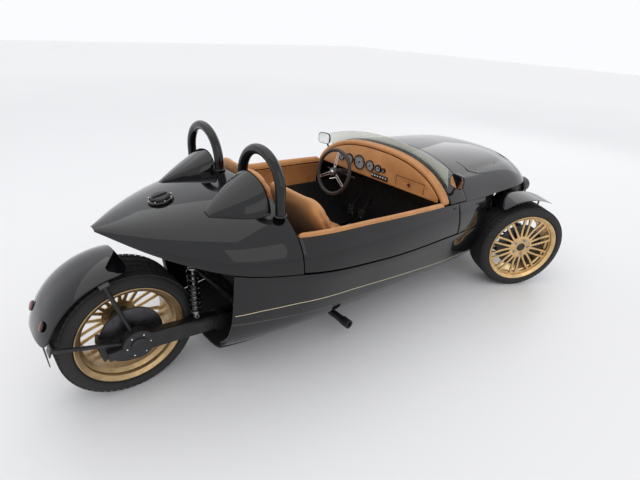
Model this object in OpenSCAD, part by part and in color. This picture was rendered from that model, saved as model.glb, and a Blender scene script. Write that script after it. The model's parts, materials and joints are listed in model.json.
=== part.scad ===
// Open two-seat roadster on three wheels, two in front and one behind.
// Millimetres. +X forwards, +Y to the left, +Z up, the ground at z = 0.
// Lengths along the car are counted from the rear axle and moved at the end by at_axle().

/* [Overall] */
// Rear axle to the front kingpins
wheelbase = 2640; // [2200:10:3170]
// Front kingpins to the tip of the nose
front_overhang = 670; // [600:10:800]
// Width of the body at the cockpit
body_w = 1310; // [1090:10:1570]
// Height of the belly above the ground
belly_z = 120; // [100:5:160]
// Distance between the two front kingpins
kingpin_span = 1505; // [1440:5:1800]
// Angle of the front wheels as parked, to the right
parked_steer = 32; // [0:1:35]

/* [Wheels] */
// Radius of the front tyres
front_tyre_r = 322; // [310:1:386]
// Width of the front tyres
front_tyre_w = 225; // [205:5:245]
// Radius of the rear tyre
rear_tyre_r = 328; // [310:1:350]
// Width of the rear tyre
rear_tyre_w = 285; // [255:5:305]
// Radius of the rim flanges
flange_r = 258.6; // [240:1:266]
// Radius of the bead seats
bead_r = 241.3; // [225:1:248]
// Wheel's middle plane outboard of the kingpin
kingpin_offset = 20; // [10:1:30]

/* [Body panels] */
// Thickness of the outer skin panels
skin_t = 5; // [3:0.5:8]
// Thickness of the side walls below the seam
wall_t = 34; // [20:1:45]
// Thickness of the doors
door_t = 42; // [30:1:50]
// Thickness of the floor
floor_t = 12; // [6:1:20]
// Gap between two fixed panels
panel_gap = 0.8; // [0.5:0.1:0.9]
// Gap around a door
door_gap = 6; // [5:0.5:9]
// Gap between parts that seat on each other
seat_gap = 0.3; // [0.2:0.05:0.5]

/* [Cockpit] */
// Rear edge of the cockpit
cockpit_x = 684; // [640:1:720]
// Front edge of the doors' top rails
rail_end_x = 1790; // [1600:1:1830]
// Width of each seat
seat_w = 450; // [380:5:470]
// Middle of each seat from the middle of the car
seat_y = 268; // [230:1:290]
// Radius of the steering wheel
steering_r = 172; // [150:1:190]
// Thickness of the steering wheel's rim
steering_rim = 26; // [20:1:34]
// Diameter of the roll hoops' tube
hoop_d = 50; // [38:1:63]
// Height of the roll hoops' tops
hoop_z = 1222; // [1150:1:1300]

/* [Rear] */
// Radius of the rear fender's crown, inside
rear_fender_r = 392; // [375:1:420]
// Width of the rear fender
rear_fender_w = 330; // [300:5:360]
// Thickness of the fenders
fender_t = 4; // [2:0.5:6]
// Clearance between the rear tyre and the swing arm
arm_gap = 22; // [12:1:40]

/* [Front] */
// Radius of the front fenders, inside
front_fender_r = 376; // [350:1:440]
// Width of the front fenders
front_fender_w = 190; // [150:5:215]
// Radius of the front brake discs
front_disc_r = 165; // [140:1:175]
// Radius of the headlights
headlight_r = 62; // [50:1:75]

/* [Hidden] */

$fn = 48;
run_fit = 0.05;
// Clearance to a curved panel, which is built of flat facets
facet_gap = 0.9;

// Stations along the body, in mm ahead of the rear axle
nose_x = wheelbase + front_overhang;
nose_start = wheelbase + 80;
arch_x = 372;
side_end_x = wheelbase - 340;
nose_back_x = wheelbase + 325;
grille_x = nose_x - 48;
cowl_x = 1868;
hood_x = 2045;
door_end_x = 1950;
tail_x = -50;
fender_lo = 86;
fender_hi = 162;
tail_end = (rear_fender_r + fender_t) * cos(180 - fender_hi);
origin_x = -(grille_x - tail_end) / 2;

st_x = [tail_x, 100, 300, 700, 1200, 1850, wheelbase - 240, wheelbase + 210, wheelbase + 480, nose_x];
st_half = [0.046, 0.366, 0.672, 0.916, 0.985, 1, 0.992, 1.015, 1, 0.977];
st_seam = [745, 680, 615, 540, 470, 425, 400, 400, 405, 410];
st_top = [755, 785, 820, 870, 880, 880, 845, 800, 770, 745];
st_tuck = [0, 0.08, 0.15, 0.18, 0.17, 0.11, 0.09, 0.09, 0.09, 0.09];

function slope(xs, ys, i) =
    let (last = len(xs) - 1)
    i == 0 ? (ys[1] - ys[0]) / (xs[1] - xs[0]) :
    i == last ? (ys[last] - ys[last - 1]) / (xs[last] - xs[last - 1]) :
    let (h0 = xs[i] - xs[i - 1], h1 = xs[i + 1] - xs[i])
    ((ys[i] - ys[i - 1]) / h0 * h1 + (ys[i + 1] - ys[i]) / h1 * h0) / (h0 + h1);
function span_of(xs, x, i = 0) = i >= len(xs) - 2 || x < xs[i + 1] ? i : span_of(xs, x, i + 1);
function curve(ys, x) =
    let (i = span_of(st_x, x), h = st_x[i + 1] - st_x[i], t = (x - st_x[i]) / h)
    (2 * t ^ 3 - 3 * t ^ 2 + 1) * ys[i] + (t ^ 3 - 2 * t ^ 2 + t) * h * slope(st_x, ys, i)
    + (3 * t ^ 2 - 2 * t ^ 3) * ys[i + 1] + (t ^ 3 - t ^ 2) * h * slope(st_x, ys, i + 1);

// The body's section: a superellipse above the seam and a squarer one below it.
upper_n = 2.4;
lower_n = 4;
nose_n = 2.5;
function nose_round(x, n) =
    let (t = max(0, min(1, (x - nose_start) / (nose_x - nose_start)))) (1 - t ^ nose_n) ^ (1 / n);
function half_w(x) = body_w / 2 * curve(st_half, x) * nose_round(x, 2);
function seam_z(x) = belly_z + curve(st_seam, x);
function rise(x) = (curve(st_top, x) - curve(st_seam, x)) * nose_round(x, 2.4);
function drop(x) = (curve(st_seam, x) - (x > nose_start ? 60 * (1 - nose_round(x, 1)) : 0))
    * nose_round(x, 2.6);
function signed_pow(v, p) = sign(v) * abs(v) ^ p;

// Point of the skin at station x. Angle 0 is the right seam, 90 the top, 180 the left seam, -90 the keel.
function skin(x, a) =
    let (up = sin(a) >= 0, n = up ? upper_n : lower_n,
         k = signed_pow(cos(a), 2 / n), v = signed_pow(sin(a), 2 / n),
         w = half_w(x) * (up ? 1 : 1 + curve(st_tuck, x) * v))
    [x, -k * w, seam_z(x) + v * (up ? rise(x) : drop(x))];
function unit(v) = v / norm(v);
function outward(x, a) = unit(cross(skin(x + 1, a) - skin(x - 1, a), skin(x, a + 0.4) - skin(x, a - 0.4)));
function inset(x, a, t) = skin(x, a) - t * outward(x, a);
// Angle on the right side at which the upper skin reaches height z
function angle_at(x, z) = asin(min(1, max(0, (z - seam_z(x)) / rise(x))) ^ (upper_n / 2));
// Height of the upper skin above a point, and of the floor's inner face
function top_at(x, y) = seam_z(x) + rise(x) * max(0, 1 - (abs(y) / half_w(x)) ^ upper_n) ^ (1 / upper_n);
function floor_at(x, y) =
    let (w = half_w(x) * (1 - curve(st_tuck, x)))
    seam_z(x) - drop(x) * max(0, 1 - (abs(y) / w) ^ lower_n) ^ (1 / lower_n) + floor_t;
// Shoulder line: the doors' top edge, carried on to the nose
shoulder_x = [cockpit_x, door_end_x, side_end_x, nose_back_x];
shoulder_z = [belly_z + 712, belly_z + 622, belly_z + 592, belly_z + 585];
function shoulder(x) =
    let (i = span_of(shoulder_x, x), t = (x - shoulder_x[i]) / (shoulder_x[i + 1] - shoulder_x[i]))
    shoulder_z[i] + (shoulder_z[i + 1] - shoulder_z[i]) * t;

function steps(a, b, n) = [for (i = [0:n]) a + (b - a) * i / n];

module at_axle() translate([origin_x, 0, 0]) children();

// Closed solid between two grids of points, outer and inner, of the same size
module grid_solid(outer, inner) {
    rows = len(outer);
    cols = len(outer[0]);
    n = rows * cols;
    points = concat([for (r = outer) each r], [for (r = inner) each r]);
    function id(i, j) = i * cols + j;
    quads = concat(
        [for (i = [0:rows - 2], j = [0:cols - 2])
            [id(i, j), id(i, j + 1), id(i + 1, j + 1), id(i + 1, j)]],
        [for (i = [0:rows - 2], j = [0:cols - 2])
            [n + id(i, j), n + id(i + 1, j), n + id(i + 1, j + 1), n + id(i, j + 1)]],
        [for (i = [0:rows - 2]) [id(i, 0), id(i + 1, 0), n + id(i + 1, 0), n + id(i, 0)]],
        [for (i = [0:rows - 2], j = [cols - 1]) [id(i, j), n + id(i, j), n + id(i + 1, j), id(i + 1, j)]],
        [for (j = [0:cols - 2]) [id(0, j), n + id(0, j), n + id(0, j + 1), id(0, j + 1)]],
        [for (j = [0:cols - 2], i = [rows - 1]) [id(i, j), id(i, j + 1), n + id(i, j + 1), n + id(i, j)]]);
    polyhedron(points, [for (q = quads) each [[q[0], q[1], q[2]], [q[0], q[2], q[3]]]]);
}

// Body panel between stations xs, from angle lo(x) to angle hi(x), t thick inwards
module panel(xs, lo, hi, cols, t) {
    outer = [for (x = xs) [for (j = [0:cols]) skin(x, lo(x) + (hi(x) - lo(x)) * j / cols)]];
    inner = [for (x = xs) [for (j = [0:cols]) inset(x, lo(x) + (hi(x) - lo(x)) * j / cols, t)]];
    grid_solid(outer, inner);
}
module both_sides() {
    children();
    mirror([0, 1, 0]) children();
}
module rod(a, b, r) {
    d = b - a;
    translate(a) rotate([0, acos(d[2] / norm(d)), atan2(d[1], d[0])]) cylinder(h = norm(d), r = r);
}
// Outline across the car at station x: [y, z] of the skin moved in by up above the seam, by low below it
function outline(x, up, low, da = 7.5) =
    [for (a = [-180:da:180 - da])
        let (p = skin(x, a), n = outward(x, a), k = n[1] ^ 2 + n[2] ^ 2, d = sin(a) > 0 ? up : low)
        [p[1] - d * n[1] / k, p[2] - d * n[2] / k]];
// Flat plate t thick from station x, with the outline of station x_tight
module section_plate(x, t, x_tight, up, low)
    translate([x, 0, 0]) rotate([90, 0, 90]) linear_extrude(t) polygon(outline(x_tight, up, low));

// ---- Body panels ----

function gap_angle(x, gap) = angle_at(x, seam_z(x) + gap);

module floor_pan() color("#202124") at_axle()
    panel(steps(arch_x, side_end_x, 10), function(x) -122, function(x) -58, 10, floor_t);

module side_panels() color("#1b1c1f") at_axle() both_sides()
    panel(steps(arch_x, side_end_x, 16), function(x) -57.6, function(x) -0.01, 10, wall_t);

module tail_deck() color("#1b1c1f") at_axle()
    panel(concat(steps(tail_x, 100, 5), steps(150, cockpit_x, 9)),
        function(x) gap_angle(x, panel_gap), function(x) 180 - gap_angle(x, panel_gap), 26, skin_t);

module cowl() color("#1b1c1f") at_axle()
    panel(steps(cowl_x, hood_x - panel_gap, 3),
        function(x) angle_at(x, shoulder(x) + door_gap),
        function(x) 180 - angle_at(x, shoulder(x) + door_gap), 24, skin_t);

module front_quarter_panels() color("#1b1c1f") at_axle() both_sides() {
    panel(steps(door_end_x + door_gap, side_end_x, 5),
        function(x) gap_angle(x, panel_gap), function(x) angle_at(x, shoulder(x)), 6, skin_t);
    hinge_fixed();
}

module hood() color("#1b1c1f") at_axle()
    panel(steps(hood_x, nose_back_x, 9),
        function(x) angle_at(x, shoulder(x) + panel_gap),
        function(x) 180 - angle_at(x, shoulder(x) + panel_gap), 24, skin_t);

nose_steps = [for (i = [0:7]) nose_back_x + panel_gap
    + (grille_x - nose_back_x - panel_gap) * sin(90 * i / 7)];
module nose_cowl() color("#1b1c1f") at_axle() {
    difference() {
        panel(nose_steps, function(x) gap_angle(x, panel_gap),
            function(x) 180 - gap_angle(x, panel_gap), 24, skin_t);
        both_sides() translate([nose_back_x, -lamp_y, lamp_z]) rotate([0, 90, 0])
            cylinder(h = 400, r = headlight_r + 4);
    }
    panel(nose_steps, function(x) -179.99, function(x) -0.01, 24, skin_t);
}

grille_t = 12;
grille_bars = 11;
module grille() color("#3a3b3e") at_axle() {
    x = grille_x - 30;
    edge = outline(x + grille_t, skin_t + facet_gap, skin_t + facet_gap);
    hole = outline(x + grille_t, skin_t + 14, skin_t + 14);
    bar_step = 2 * half_w(x) / (grille_bars + 1);
    translate([x, 0, 0]) rotate([90, 0, 90]) linear_extrude(grille_t) {
        difference() {
            polygon(edge);
            polygon(hole);
        }
        intersection() {
            polygon(edge);
            for (i = [1:grille_bars])
                translate([-half_w(x) + i * bar_step - 4, belly_z]) square([8, 800]);
        }
    }
}

fairing_y = 262;
module headrest_fairings() color("#1b1c1f") at_axle() both_sides() {
    rows = steps(0, 1, 10);
    x0 = 372;
    x1 = hoop_x - hoop_d / 2 - seat_gap;
    outer = [for (t = rows) let (x = x0 + (x1 - x0) * t, w = 24 + 122 * sin(90 * t) ^ 1.1,
            h = 8 + 116 * t ^ 0.95, y0 = -fairing_y)
        [for (a = steps(0, 180, 12)) let (y = y0 - w * cos(a)) [x, y, top_at(x, y) + seat_gap + h * sin(a)]]];
    inner = [for (t = rows) let (x = x0 + (x1 - x0) * t, w = 24 + 122 * sin(90 * t) ^ 1.1, y0 = -fairing_y)
        [for (a = steps(0, 180, 12)) let (y = y0 - w * cos(a)) [x, y, top_at(x, y) + seat_gap - 0.01]]];
    grid_solid(outer, inner);
}

hoop_x = 652;
hoop_y = 285;
hoop_half = 163;
hoop_bend_z = hoop_z - hoop_d / 2 - hoop_half;
module roll_hoops() color("#141416") at_axle() both_sides() translate([hoop_x, -hoop_y, 0]) {
    translate([0, 0, hoop_bend_z]) rotate([90, 0, 90])
        rotate_extrude(angle = 180) translate([hoop_half, 0]) circle(d = hoop_d);
    for (s = [-1, 1]) let (y = hoop_y - s * hoop_half,
            foot = top_at(hoop_x + hoop_d / 2, y - hoop_d / 2) + facet_gap)
        translate([0, s * hoop_half, foot]) cylinder(h = hoop_bend_z - foot, d = hoop_d);
}

cap_x = 268;
cap_y = 0;
module fuel_cap() color("#0e0e10") at_axle() {
    lean = atan((top_at(cap_x + 60, cap_y) - top_at(cap_x - 60, cap_y)) / 120);
    translate([cap_x, cap_y, top_at(cap_x, cap_y) + facet_gap]) rotate([0, -lean, 0]) {
        cylinder(h = 12, r = 62);
        translate([0, 0, 12]) cylinder(h = 14, r = 46);
        translate([-40, -7, 26]) cube([80, 14, 8]);
    }
}

rear_wall_t = 8;
rear_wall_x = cockpit_x - 44;
firewall_t = 24;
firewall_x = hood_x - 12;
module bulkheads() color("#151518") at_axle() {
    section_plate(rear_wall_x, rear_wall_t, rear_wall_x, skin_t + facet_gap, wall_t + facet_gap);
    section_plate(firewall_x, firewall_t, hood_x + 12, skin_t + facet_gap, wall_t + facet_gap);
}

// ---- Doors ----

hinge_x = door_end_x + door_gap / 2;
hinge_y = half_w(hinge_x) + 9;
hinge_zs = [seam_z(hinge_x) + 42, seam_z(hinge_x) + 128];
knuckle_h = 18;
pin_r = 3.5;
leaf_t = 4;
// Leaf plate lying on the skin, from the pin's axis to x1, at height z
module hinge_leaf(x1, z) {
    y = inset(x1, angle_at(x1, z + knuckle_h), -seat_gap)[1];
    lo = min(x1, hinge_x);
    translate([lo, -hinge_y - 2, z]) cube([abs(x1 - hinge_x), hinge_y + 2 + y, knuckle_h]);
}
module hinge_fixed() for (z = hinge_zs) {
    for (dz = [-knuckle_h - 0.5, knuckle_h + 0.5]) {
        difference() {
            union() {
                translate([hinge_x, -hinge_y, z + dz]) cylinder(h = knuckle_h, r = 8);
                hinge_leaf(hinge_x + 34, z + dz);
            }
        }
    }
    translate([hinge_x, -hinge_y, z - 2]) cylinder(h = knuckle_h + 4, r = pin_r);
}
module hinge_moving() for (z = hinge_zs) difference() {
    union() {
        translate([hinge_x, -hinge_y, z]) cylinder(h = knuckle_h, r = 8);
        hinge_leaf(hinge_x - 34, z);
    }
    translate([hinge_x, -hinge_y, z - 1]) cylinder(h = knuckle_h + 2, r = pin_r + run_fit);
}
module door() {
    panel(steps(cockpit_x + door_gap, door_end_x, 14),
        function(x) gap_angle(x, door_gap), function(x) angle_at(x, shoulder(x)), 8, door_t);
    hinge_moving();
}
module door_right() color("#1b1c1f") at_axle() door();
module door_left() color("#1b1c1f") at_axle() mirror([0, 1, 0]) door();

rail_h = 30;
module door_rail() {
    xs = steps(cockpit_x + door_gap + 6, rail_end_x, 12);
    function base(x, d) = inset(x, angle_at(x, shoulder(x)), d) + [0, 0, seat_gap + 6 * d / door_t];
    outer = [for (x = xs) let (p = base(x, 0), q = base(x, door_t))
        [for (a = steps(0, 180, 8)) (p + q) / 2 + cos(a) * (p - q) / 2 + [0, 0, rail_h * sin(a) ^ 0.7]]];
    inner = [for (x = xs) let (p = base(x, 0), q = base(x, door_t))
        [for (a = steps(0, 180, 8)) (p + q) / 2 + cos(a) * (p - q) / 2 - [0, 0, 0.01]]];
    grid_solid(outer, inner);
}
module door_rail_right() color("#c98a4b") at_axle() door_rail();
module door_rail_left() color("#c98a4b") at_axle() mirror([0, 1, 0]) door_rail();

// ---- Cockpit ----

trim_t = 34;
module cowl_trim() color("#c98a4b") at_axle()
    panel(steps(rail_end_x + 12, cowl_x - panel_gap, 3),
        function(x) angle_at(x, shoulder(x) + door_gap + 2),
        function(x) 180 - angle_at(x, shoulder(x) + door_gap + 2), 24, trim_t);

dash_x = rail_end_x + 4;
dash_t = 14;
dash_z = belly_z + 640;
dash_half = half_w(dash_x) - door_t - 62;
glove_y = 322;
glove_w = 236;
glove_h = 72;
glove_z = dash_z + 14;
module dash_panel() color("#c98a4b") at_axle() difference() {
    translate([dash_x, 0, 0]) rotate([90, 0, 90]) linear_extrude(dash_t) intersection() {
        polygon(outline(rail_end_x + 12, trim_t + facet_gap, 0));
        translate([-dash_half, dash_z]) square([2 * dash_half, 400]);
    }
    translate([dash_x - 1, -glove_y - glove_w / 2, glove_z]) cube([dash_t + 2, glove_w, glove_h]);
}

gauge_ys = [331, 245, 142, 32, -42];
gauge_rs = [26, 32, 44, 32, 24];
gauge_z = dash_z + 86;
module instruments() color("#2a2a2c") at_axle() {
    for (i = [0:len(gauge_ys) - 1])
        translate([dash_x - 9 - seat_gap, gauge_ys[i], gauge_z]) rotate([0, 90, 0]) cylinder(h = 9, r = gauge_rs[i]);
    translate([dash_x - 9 - seat_gap, -92, gauge_z]) rotate([0, 90, 0]) cylinder(h = 9, r = 14);
    translate([dash_x - 12 - seat_gap, -138, dash_z + 14]) cube([12, 152, 34]);
}

lid_gap = 5;
module glovebox_lid() color("#c98a4b") at_axle()
    translate([dash_x + 1, -glove_y - glove_w / 2 + lid_gap, glove_z + seat_gap]) {
        difference() {
            cube([dash_t - 2, glove_w - 2 * lid_gap, glove_h - lid_gap - seat_gap]);
            translate([-1, (glove_w - 2 * lid_gap) / 2 - 34, glove_h - 42]) cube([3, 68, 24]);
        }
        translate([-7, (glove_w - 2 * lid_gap) / 2 - 10, glove_h / 2 - 6]) cube([9.1, 20, 12]);
    }

// Steering wheel: hub at the driver's side, its axis tilted down towards the front
wheel_hub = [1646, 256, 765];
wheel_tilt = 14;
column_r = 16;
module on_column() translate(wheel_hub) rotate([0, 90 + wheel_tilt, 0]) children();
module steering_wheel() color("#4a453f") at_axle() on_column() {
    rotate_extrude() translate([steering_r - steering_rim / 2, 0]) circle(d = steering_rim);
    difference() {
        translate([0, 0, -22]) cylinder(h = 44, r = 34);
        translate([0, 0, -4]) cylinder(h = 60, r = column_r + run_fit);
    }
    for (a = [62, 182, 302]) rotate([0, 0, a]) translate([28, -13, -3])
        cube([steering_r - steering_rim - 22, 26, 6]);
}
module steering_column() color("#1f1f21") at_axle() {
    on_column() {
        cylinder(h = 380, r = column_r);
        translate([0, 0, 60]) cylinder(h = 84, r = 30);
        translate([-5, -150, 76]) cube([10, 300, 10]);
    }
    // Bracket up to the dash panel
    translate([dash_x + 1, wheel_hub[1] - 25, dash_z - 32]) cube([dash_t - 2, 50, 32 - seat_gap]);
}

glass_t = 5;
glass_half = 548;
glass_top_z = belly_z + 942;
glass_foot_x = cowl_x + 26;
glass_head_x = cowl_x - 14;
// Bottom and top edges of the windscreen; d moves the point forwards
function glass_foot(y, d) = [glass_foot_x + d, y, top_at(glass_foot_x, y) + facet_gap];
function glass_head(y, d) = [glass_head_x + d, y, max(glass_top_z - 0.00031 * y ^ 2, glass_foot(y, 0)[2] + 20)];
module windscreen() color("#b9d6c4", 0.4) at_axle() {
    ys = steps(-glass_half, glass_half, 36);
    outer = [for (t = steps(0, 1, 3)) [for (y = ys) glass_foot(y, glass_t) * (1 - t) + glass_head(y, glass_t) * t]];
    inner = [for (t = steps(0, 1, 3)) [for (y = ys) glass_foot(y, 0) * (1 - t) + glass_head(y, 0) * t]];
    grid_solid(outer, inner);
}

mirror_y = 622;
mirror_arm_r = 9;
mirror_foot_r = 12;
module mirrors() color("#0f0f11") at_axle() both_sides() {
    foot = inset(cowl_x + 34, 31, -14.2);
    head = [cowl_x + 6, -mirror_y, belly_z + 790];
    translate(head) rotate([0, 0, -14]) translate([-14, -56, -44]) cube([30, 112, 88]);
    // Twelve-sided, so that both come out with flat faces only
    rod(foot, head, mirror_arm_r - 1, $fn = 12);
    translate(foot - [0, 0, 7]) cylinder(h = 14, r = mirror_foot_r, $fn = 12);
}

seat_pan_z = 262;
seat_pan_t = 43;
cushion_r = [56, 54];
back_r = [46, 58];
cushion_rear = [1236, seat_pan_z + seat_pan_t + cushion_r[0] + seat_gap];
cushion_front = [1560, cushion_rear[1] + 26];
// The back's foot rests against the rear of the cushion
back_lean = 158;
back_foot = cushion_rear + (cushion_r[0] + back_r[0] + seat_gap) * [cos(back_lean), sin(back_lean)];
back_top = [868, 912];
module seat_pad(a, b, ra, rb, w) rotate([90, 0, 0]) hull() {
    translate([a[0], a[1], -w / 2]) cylinder(h = w, r = ra, $fn = 32);
    translate([b[0], b[1], -w / 2]) cylinder(h = w, r = rb, $fn = 32);
}
module seat_cushions() color("#c98a4b") at_axle() both_sides() translate([0, -seat_y, 0])
    seat_pad(cushion_rear, cushion_front, cushion_r[0], cushion_r[1], seat_w);
module seat_backs() color("#c98a4b") at_axle() both_sides() translate([0, -seat_y, 0])
    seat_pad(back_foot, back_top, back_r[0], back_r[1], seat_w);
seat_rail_ys = [seat_y - 150, seat_y + 95];
module seat_bases() color("#17171a") at_axle() both_sides() {
    for (y = seat_rail_ys) {
        z = max(floor_at(1150, y + 15), floor_at(1580, y + 15)) + facet_gap;
        translate([1150, -y - 15, z]) cube([430, 30, seat_pan_z - z]);
    }
    translate([1100, -seat_y - 190, seat_pan_z]) cube([500, 380, seat_pan_t]);
}

tunnel_half = 36;
tunnel_top = 330;
module centre_tunnel() color("#121214") at_axle()
    translate([rear_wall_x + rear_wall_t + seat_gap, -tunnel_half, floor_at(1200, tunnel_half) + facet_gap])
        cube([firewall_x - rear_wall_x - rear_wall_t - 2 * seat_gap, 2 * tunnel_half,
            tunnel_top - floor_at(1200, tunnel_half) - facet_gap]);

pedal_ys = [200, 320];
module driver_controls() color("#8d9094") at_axle() {
    for (y = pedal_ys) {
        translate([firewall_x - 100, y - 32, 330]) cube([8, 64, 82]);
        rod([firewall_x - 5, y, 470], [firewall_x - 94, y, 396], 6);
        translate([firewall_x - 6 - seat_gap, y - 14, 452]) cube([6, 28, 36]);
    }
    translate([1440, 0, tunnel_top + seat_gap]) {
        cylinder(h = 6, r = 28);
        cylinder(h = 120, r = 6);
        translate([0, 0, 128]) sphere(r = 20);
    }
}

// ---- Front end ----

kp_y = kingpin_span / 2;
axle_z = front_tyre_r;
ball_dz = 130;
// Right-hand corner in its own axes: origin on the kingpin at axle height, outboard -Y
module front_corner(side) at_axle() translate([wheelbase, side * kp_y, axle_z])
    rotate([0, 0, -parked_steer]) mirror([0, side > 0 ? 1 : 0, 0]) children();

frame_y = 285;
frame_half_t = 25;
frame_out = frame_y + frame_half_t;
frame_z = floor_at(side_end_x - 60, frame_out) + facet_gap;
frame_x0 = hood_x + 30;
module front_subframe() color("#1a1a1c") at_axle() difference() {
    union() {
        both_sides() {
            translate([frame_x0, -frame_out, frame_z]) cube([nose_back_x - 8 - frame_x0, 2 * frame_half_t, 60]);
            for (dx = [-130, 130])
                translate([wheelbase + dx - 20, -frame_out, frame_z]) cube([40, 30, axle_z + 190 - frame_z]);
            translate([wheelbase - 150, -frame_out, axle_z + 160]) cube([300, 30, 40]);
        }
        for (x = [wheelbase - 230, wheelbase + 250])
            translate([x, -frame_y, frame_z]) cube([50, 2 * frame_y, 60]);
        translate([rack_x, -245, axle_z - rack_dz]) rotate([-90, 0, 0]) cylinder(h = 490, r = 28);
        for (y = [-200, 160]) translate([rack_x - 40, y, frame_z + 30]) cube([80, 40, axle_z - rack_dz - frame_z - 40]);
    }
    translate([rack_x, -300, axle_z - rack_dz]) rotate([-90, 0, 0]) cylinder(h = 600, r = rack_r + run_fit);
}

module engine_block() color("#4a4c50") at_axle()
    translate([rack_x + 44, -frame_y + 30, frame_z + 60 + seat_gap]) cube([400, 2 * frame_y - 60, 450]);

ball_r = 20;
ball_pin_r = 8;
module wishbone(dz) {
    s = sign(dz);
    hub = [wheelbase, -kp_y, axle_z + dz + s * 10];
    translate([wheelbase, -kp_y, axle_z + dz]) mirror([0, 0, s < 0 ? 1 : 0]) {
        cylinder(h = 20, r = ball_r);
        translate([0, 0, -26]) cylinder(h = 30, r = ball_pin_r);
    }
    for (dx = [-130, 130]) {
        rod([wheelbase + dx, -frame_out - seat_gap - 10, hub[2]], hub, 11);
        translate([wheelbase + dx - 18, -frame_out - seat_gap - 20, hub[2] - 14]) cube([36, 20, 28]);
    }
}
module wishbones() color("#26272a") at_axle() both_sides() {
    wishbone(ball_dz);
    wishbone(-ball_dz);
}

damper_y = 470;
eye_r = 14;
module front_dampers() color("#2f2f33") at_axle() both_sides() {
    // The lower eye sits on the wishbone's front leg, the upper one against the tower
    t = (damper_y - frame_out - 10) / (kp_y - frame_out - 10);
    foot = [wheelbase + 130 * (1 - t), -damper_y, axle_z - ball_dz - 10 + 11 + eye_r + seat_gap];
    head = [wheelbase + 60, -frame_out - eye_r - seat_gap, axle_z + 176];
    translate(foot) sphere(r = eye_r);
    translate(head) sphere(r = eye_r);
    rod(foot, head, 13);
    d = unit(head - foot);
    for (i = [0:6]) rod(foot + d * (60 + 28 * i), foot + d * (72 + 28 * i), 29);
}

module driveshafts() color("#3c3d40") at_axle() both_sides() {
    rod([wheelbase, -frame_y + 30 - seat_gap, axle_z], [wheelbase, -kp_y + 8, axle_z], 13);
    translate([wheelbase, -kp_y, axle_z]) sphere(r = 24);
    rod([wheelbase, -frame_y + 30 - seat_gap, axle_z], [wheelbase, -frame_out - 60, axle_z], 34);
}

// Steering arm's eye, in the corner's axes
arm_u = -110;
arm_v = 20;
arm_dz = 60;
rack_x = wheelbase - 175;
rack_r = 13;
rack_dz = 48;
rack_half = 330;
rack_shift = 58;
function turned(side, u, v) =
    let (c = cos(-parked_steer), s = sin(-parked_steer))
    [wheelbase + u * c - s * v * -side, side * kp_y + u * s + c * v * -side];
module steering_rack() color("#5a5c60") at_axle() {
    z = axle_z - rack_dz;
    rod([rack_x, rack_shift - rack_half, z], [rack_x, rack_shift + rack_half, z], rack_r);
    for (side = [-1, 1]) {
        eye = turned(side, arm_u, arm_v);
        rod([rack_x, rack_shift + side * rack_half, z], [eye[0], eye[1], z], 9);
        translate([rack_x, rack_shift + side * rack_half, z]) sphere(r = 17);
        translate([eye[0], eye[1], z - 11.6]) cylinder(h = 24, r = 15);
    }
}

hub_bore_r = 45;
module knuckle() {
    difference() {
        union() {
            translate([0, 25, 0]) rotate([90, 0, 0]) cylinder(h = 70, r = 64);
            for (s = [-1, 1]) mirror([0, 0, s < 0 ? 1 : 0]) {
                translate([-20, -20, 50]) cube([40, 32, 60]);
                translate([0, 0, ball_dz - 28]) cylinder(h = 26.7, r = ball_r + 2);
            }
            translate([arm_u, arm_v - 12, -arm_dz - 12]) cube([-arm_u - 40, 24, 12]);
            translate([-62, arm_v - 12, -arm_dz - 12]) cube([30, 24, 40]);
            translate([arm_u, arm_v, -arm_dz - 12]) cylinder(h = 12, r = 16);
        }
        translate([0, 40, 0]) rotate([90, 0, 0]) cylinder(h = 100, r = hub_bore_r);
        for (s = [-1, 1]) mirror([0, 0, s < 0 ? 1 : 0])
            translate([0, 0, ball_dz - 40]) cylinder(h = 60, r = ball_pin_r + run_fit);
    }
    caliper();
}
disc_y = -52;
disc_t = 12;
// Caliper astride the disc, ahead of the axle, on a bracket from the hub carrier
module caliper() {
    translate([50, -44, -18]) cube([75, 30, 36]);
    caliper_body();
}
module caliper_body() difference() {
    rotate([90, 0, 0]) translate([0, 0, -disc_y - 20]) rotate([0, 0, -28])
        rotate_extrude(angle = 56) translate([front_disc_r - 50, 0]) square([60, 46]);
    rotate([90, 0, 0]) translate([0, 0, -disc_y - 3]) cylinder(h = disc_t + 6, r = front_disc_r + 3);
}
module knuckle_right() color("#55575b") front_corner(-1) knuckle();
module knuckle_left() color("#55575b") front_corner(1) knuckle();

module front_brake() {
    rotate([90, 0, 0]) {
        translate([0, 0, 30]) cylinder(h = 46, r = hub_bore_r - run_fit);
        translate([0, 0, -disc_y]) cylinder(h = disc_t, r = front_disc_r);
        translate([0, 0, 70]) cylinder(h = 12 - seat_gap, r = 72);
    }
}
module front_brake_right() color("#9a9ca0") front_corner(-1) front_brake();
module front_brake_left() color("#9a9ca0") front_corner(1) front_brake();

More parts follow.
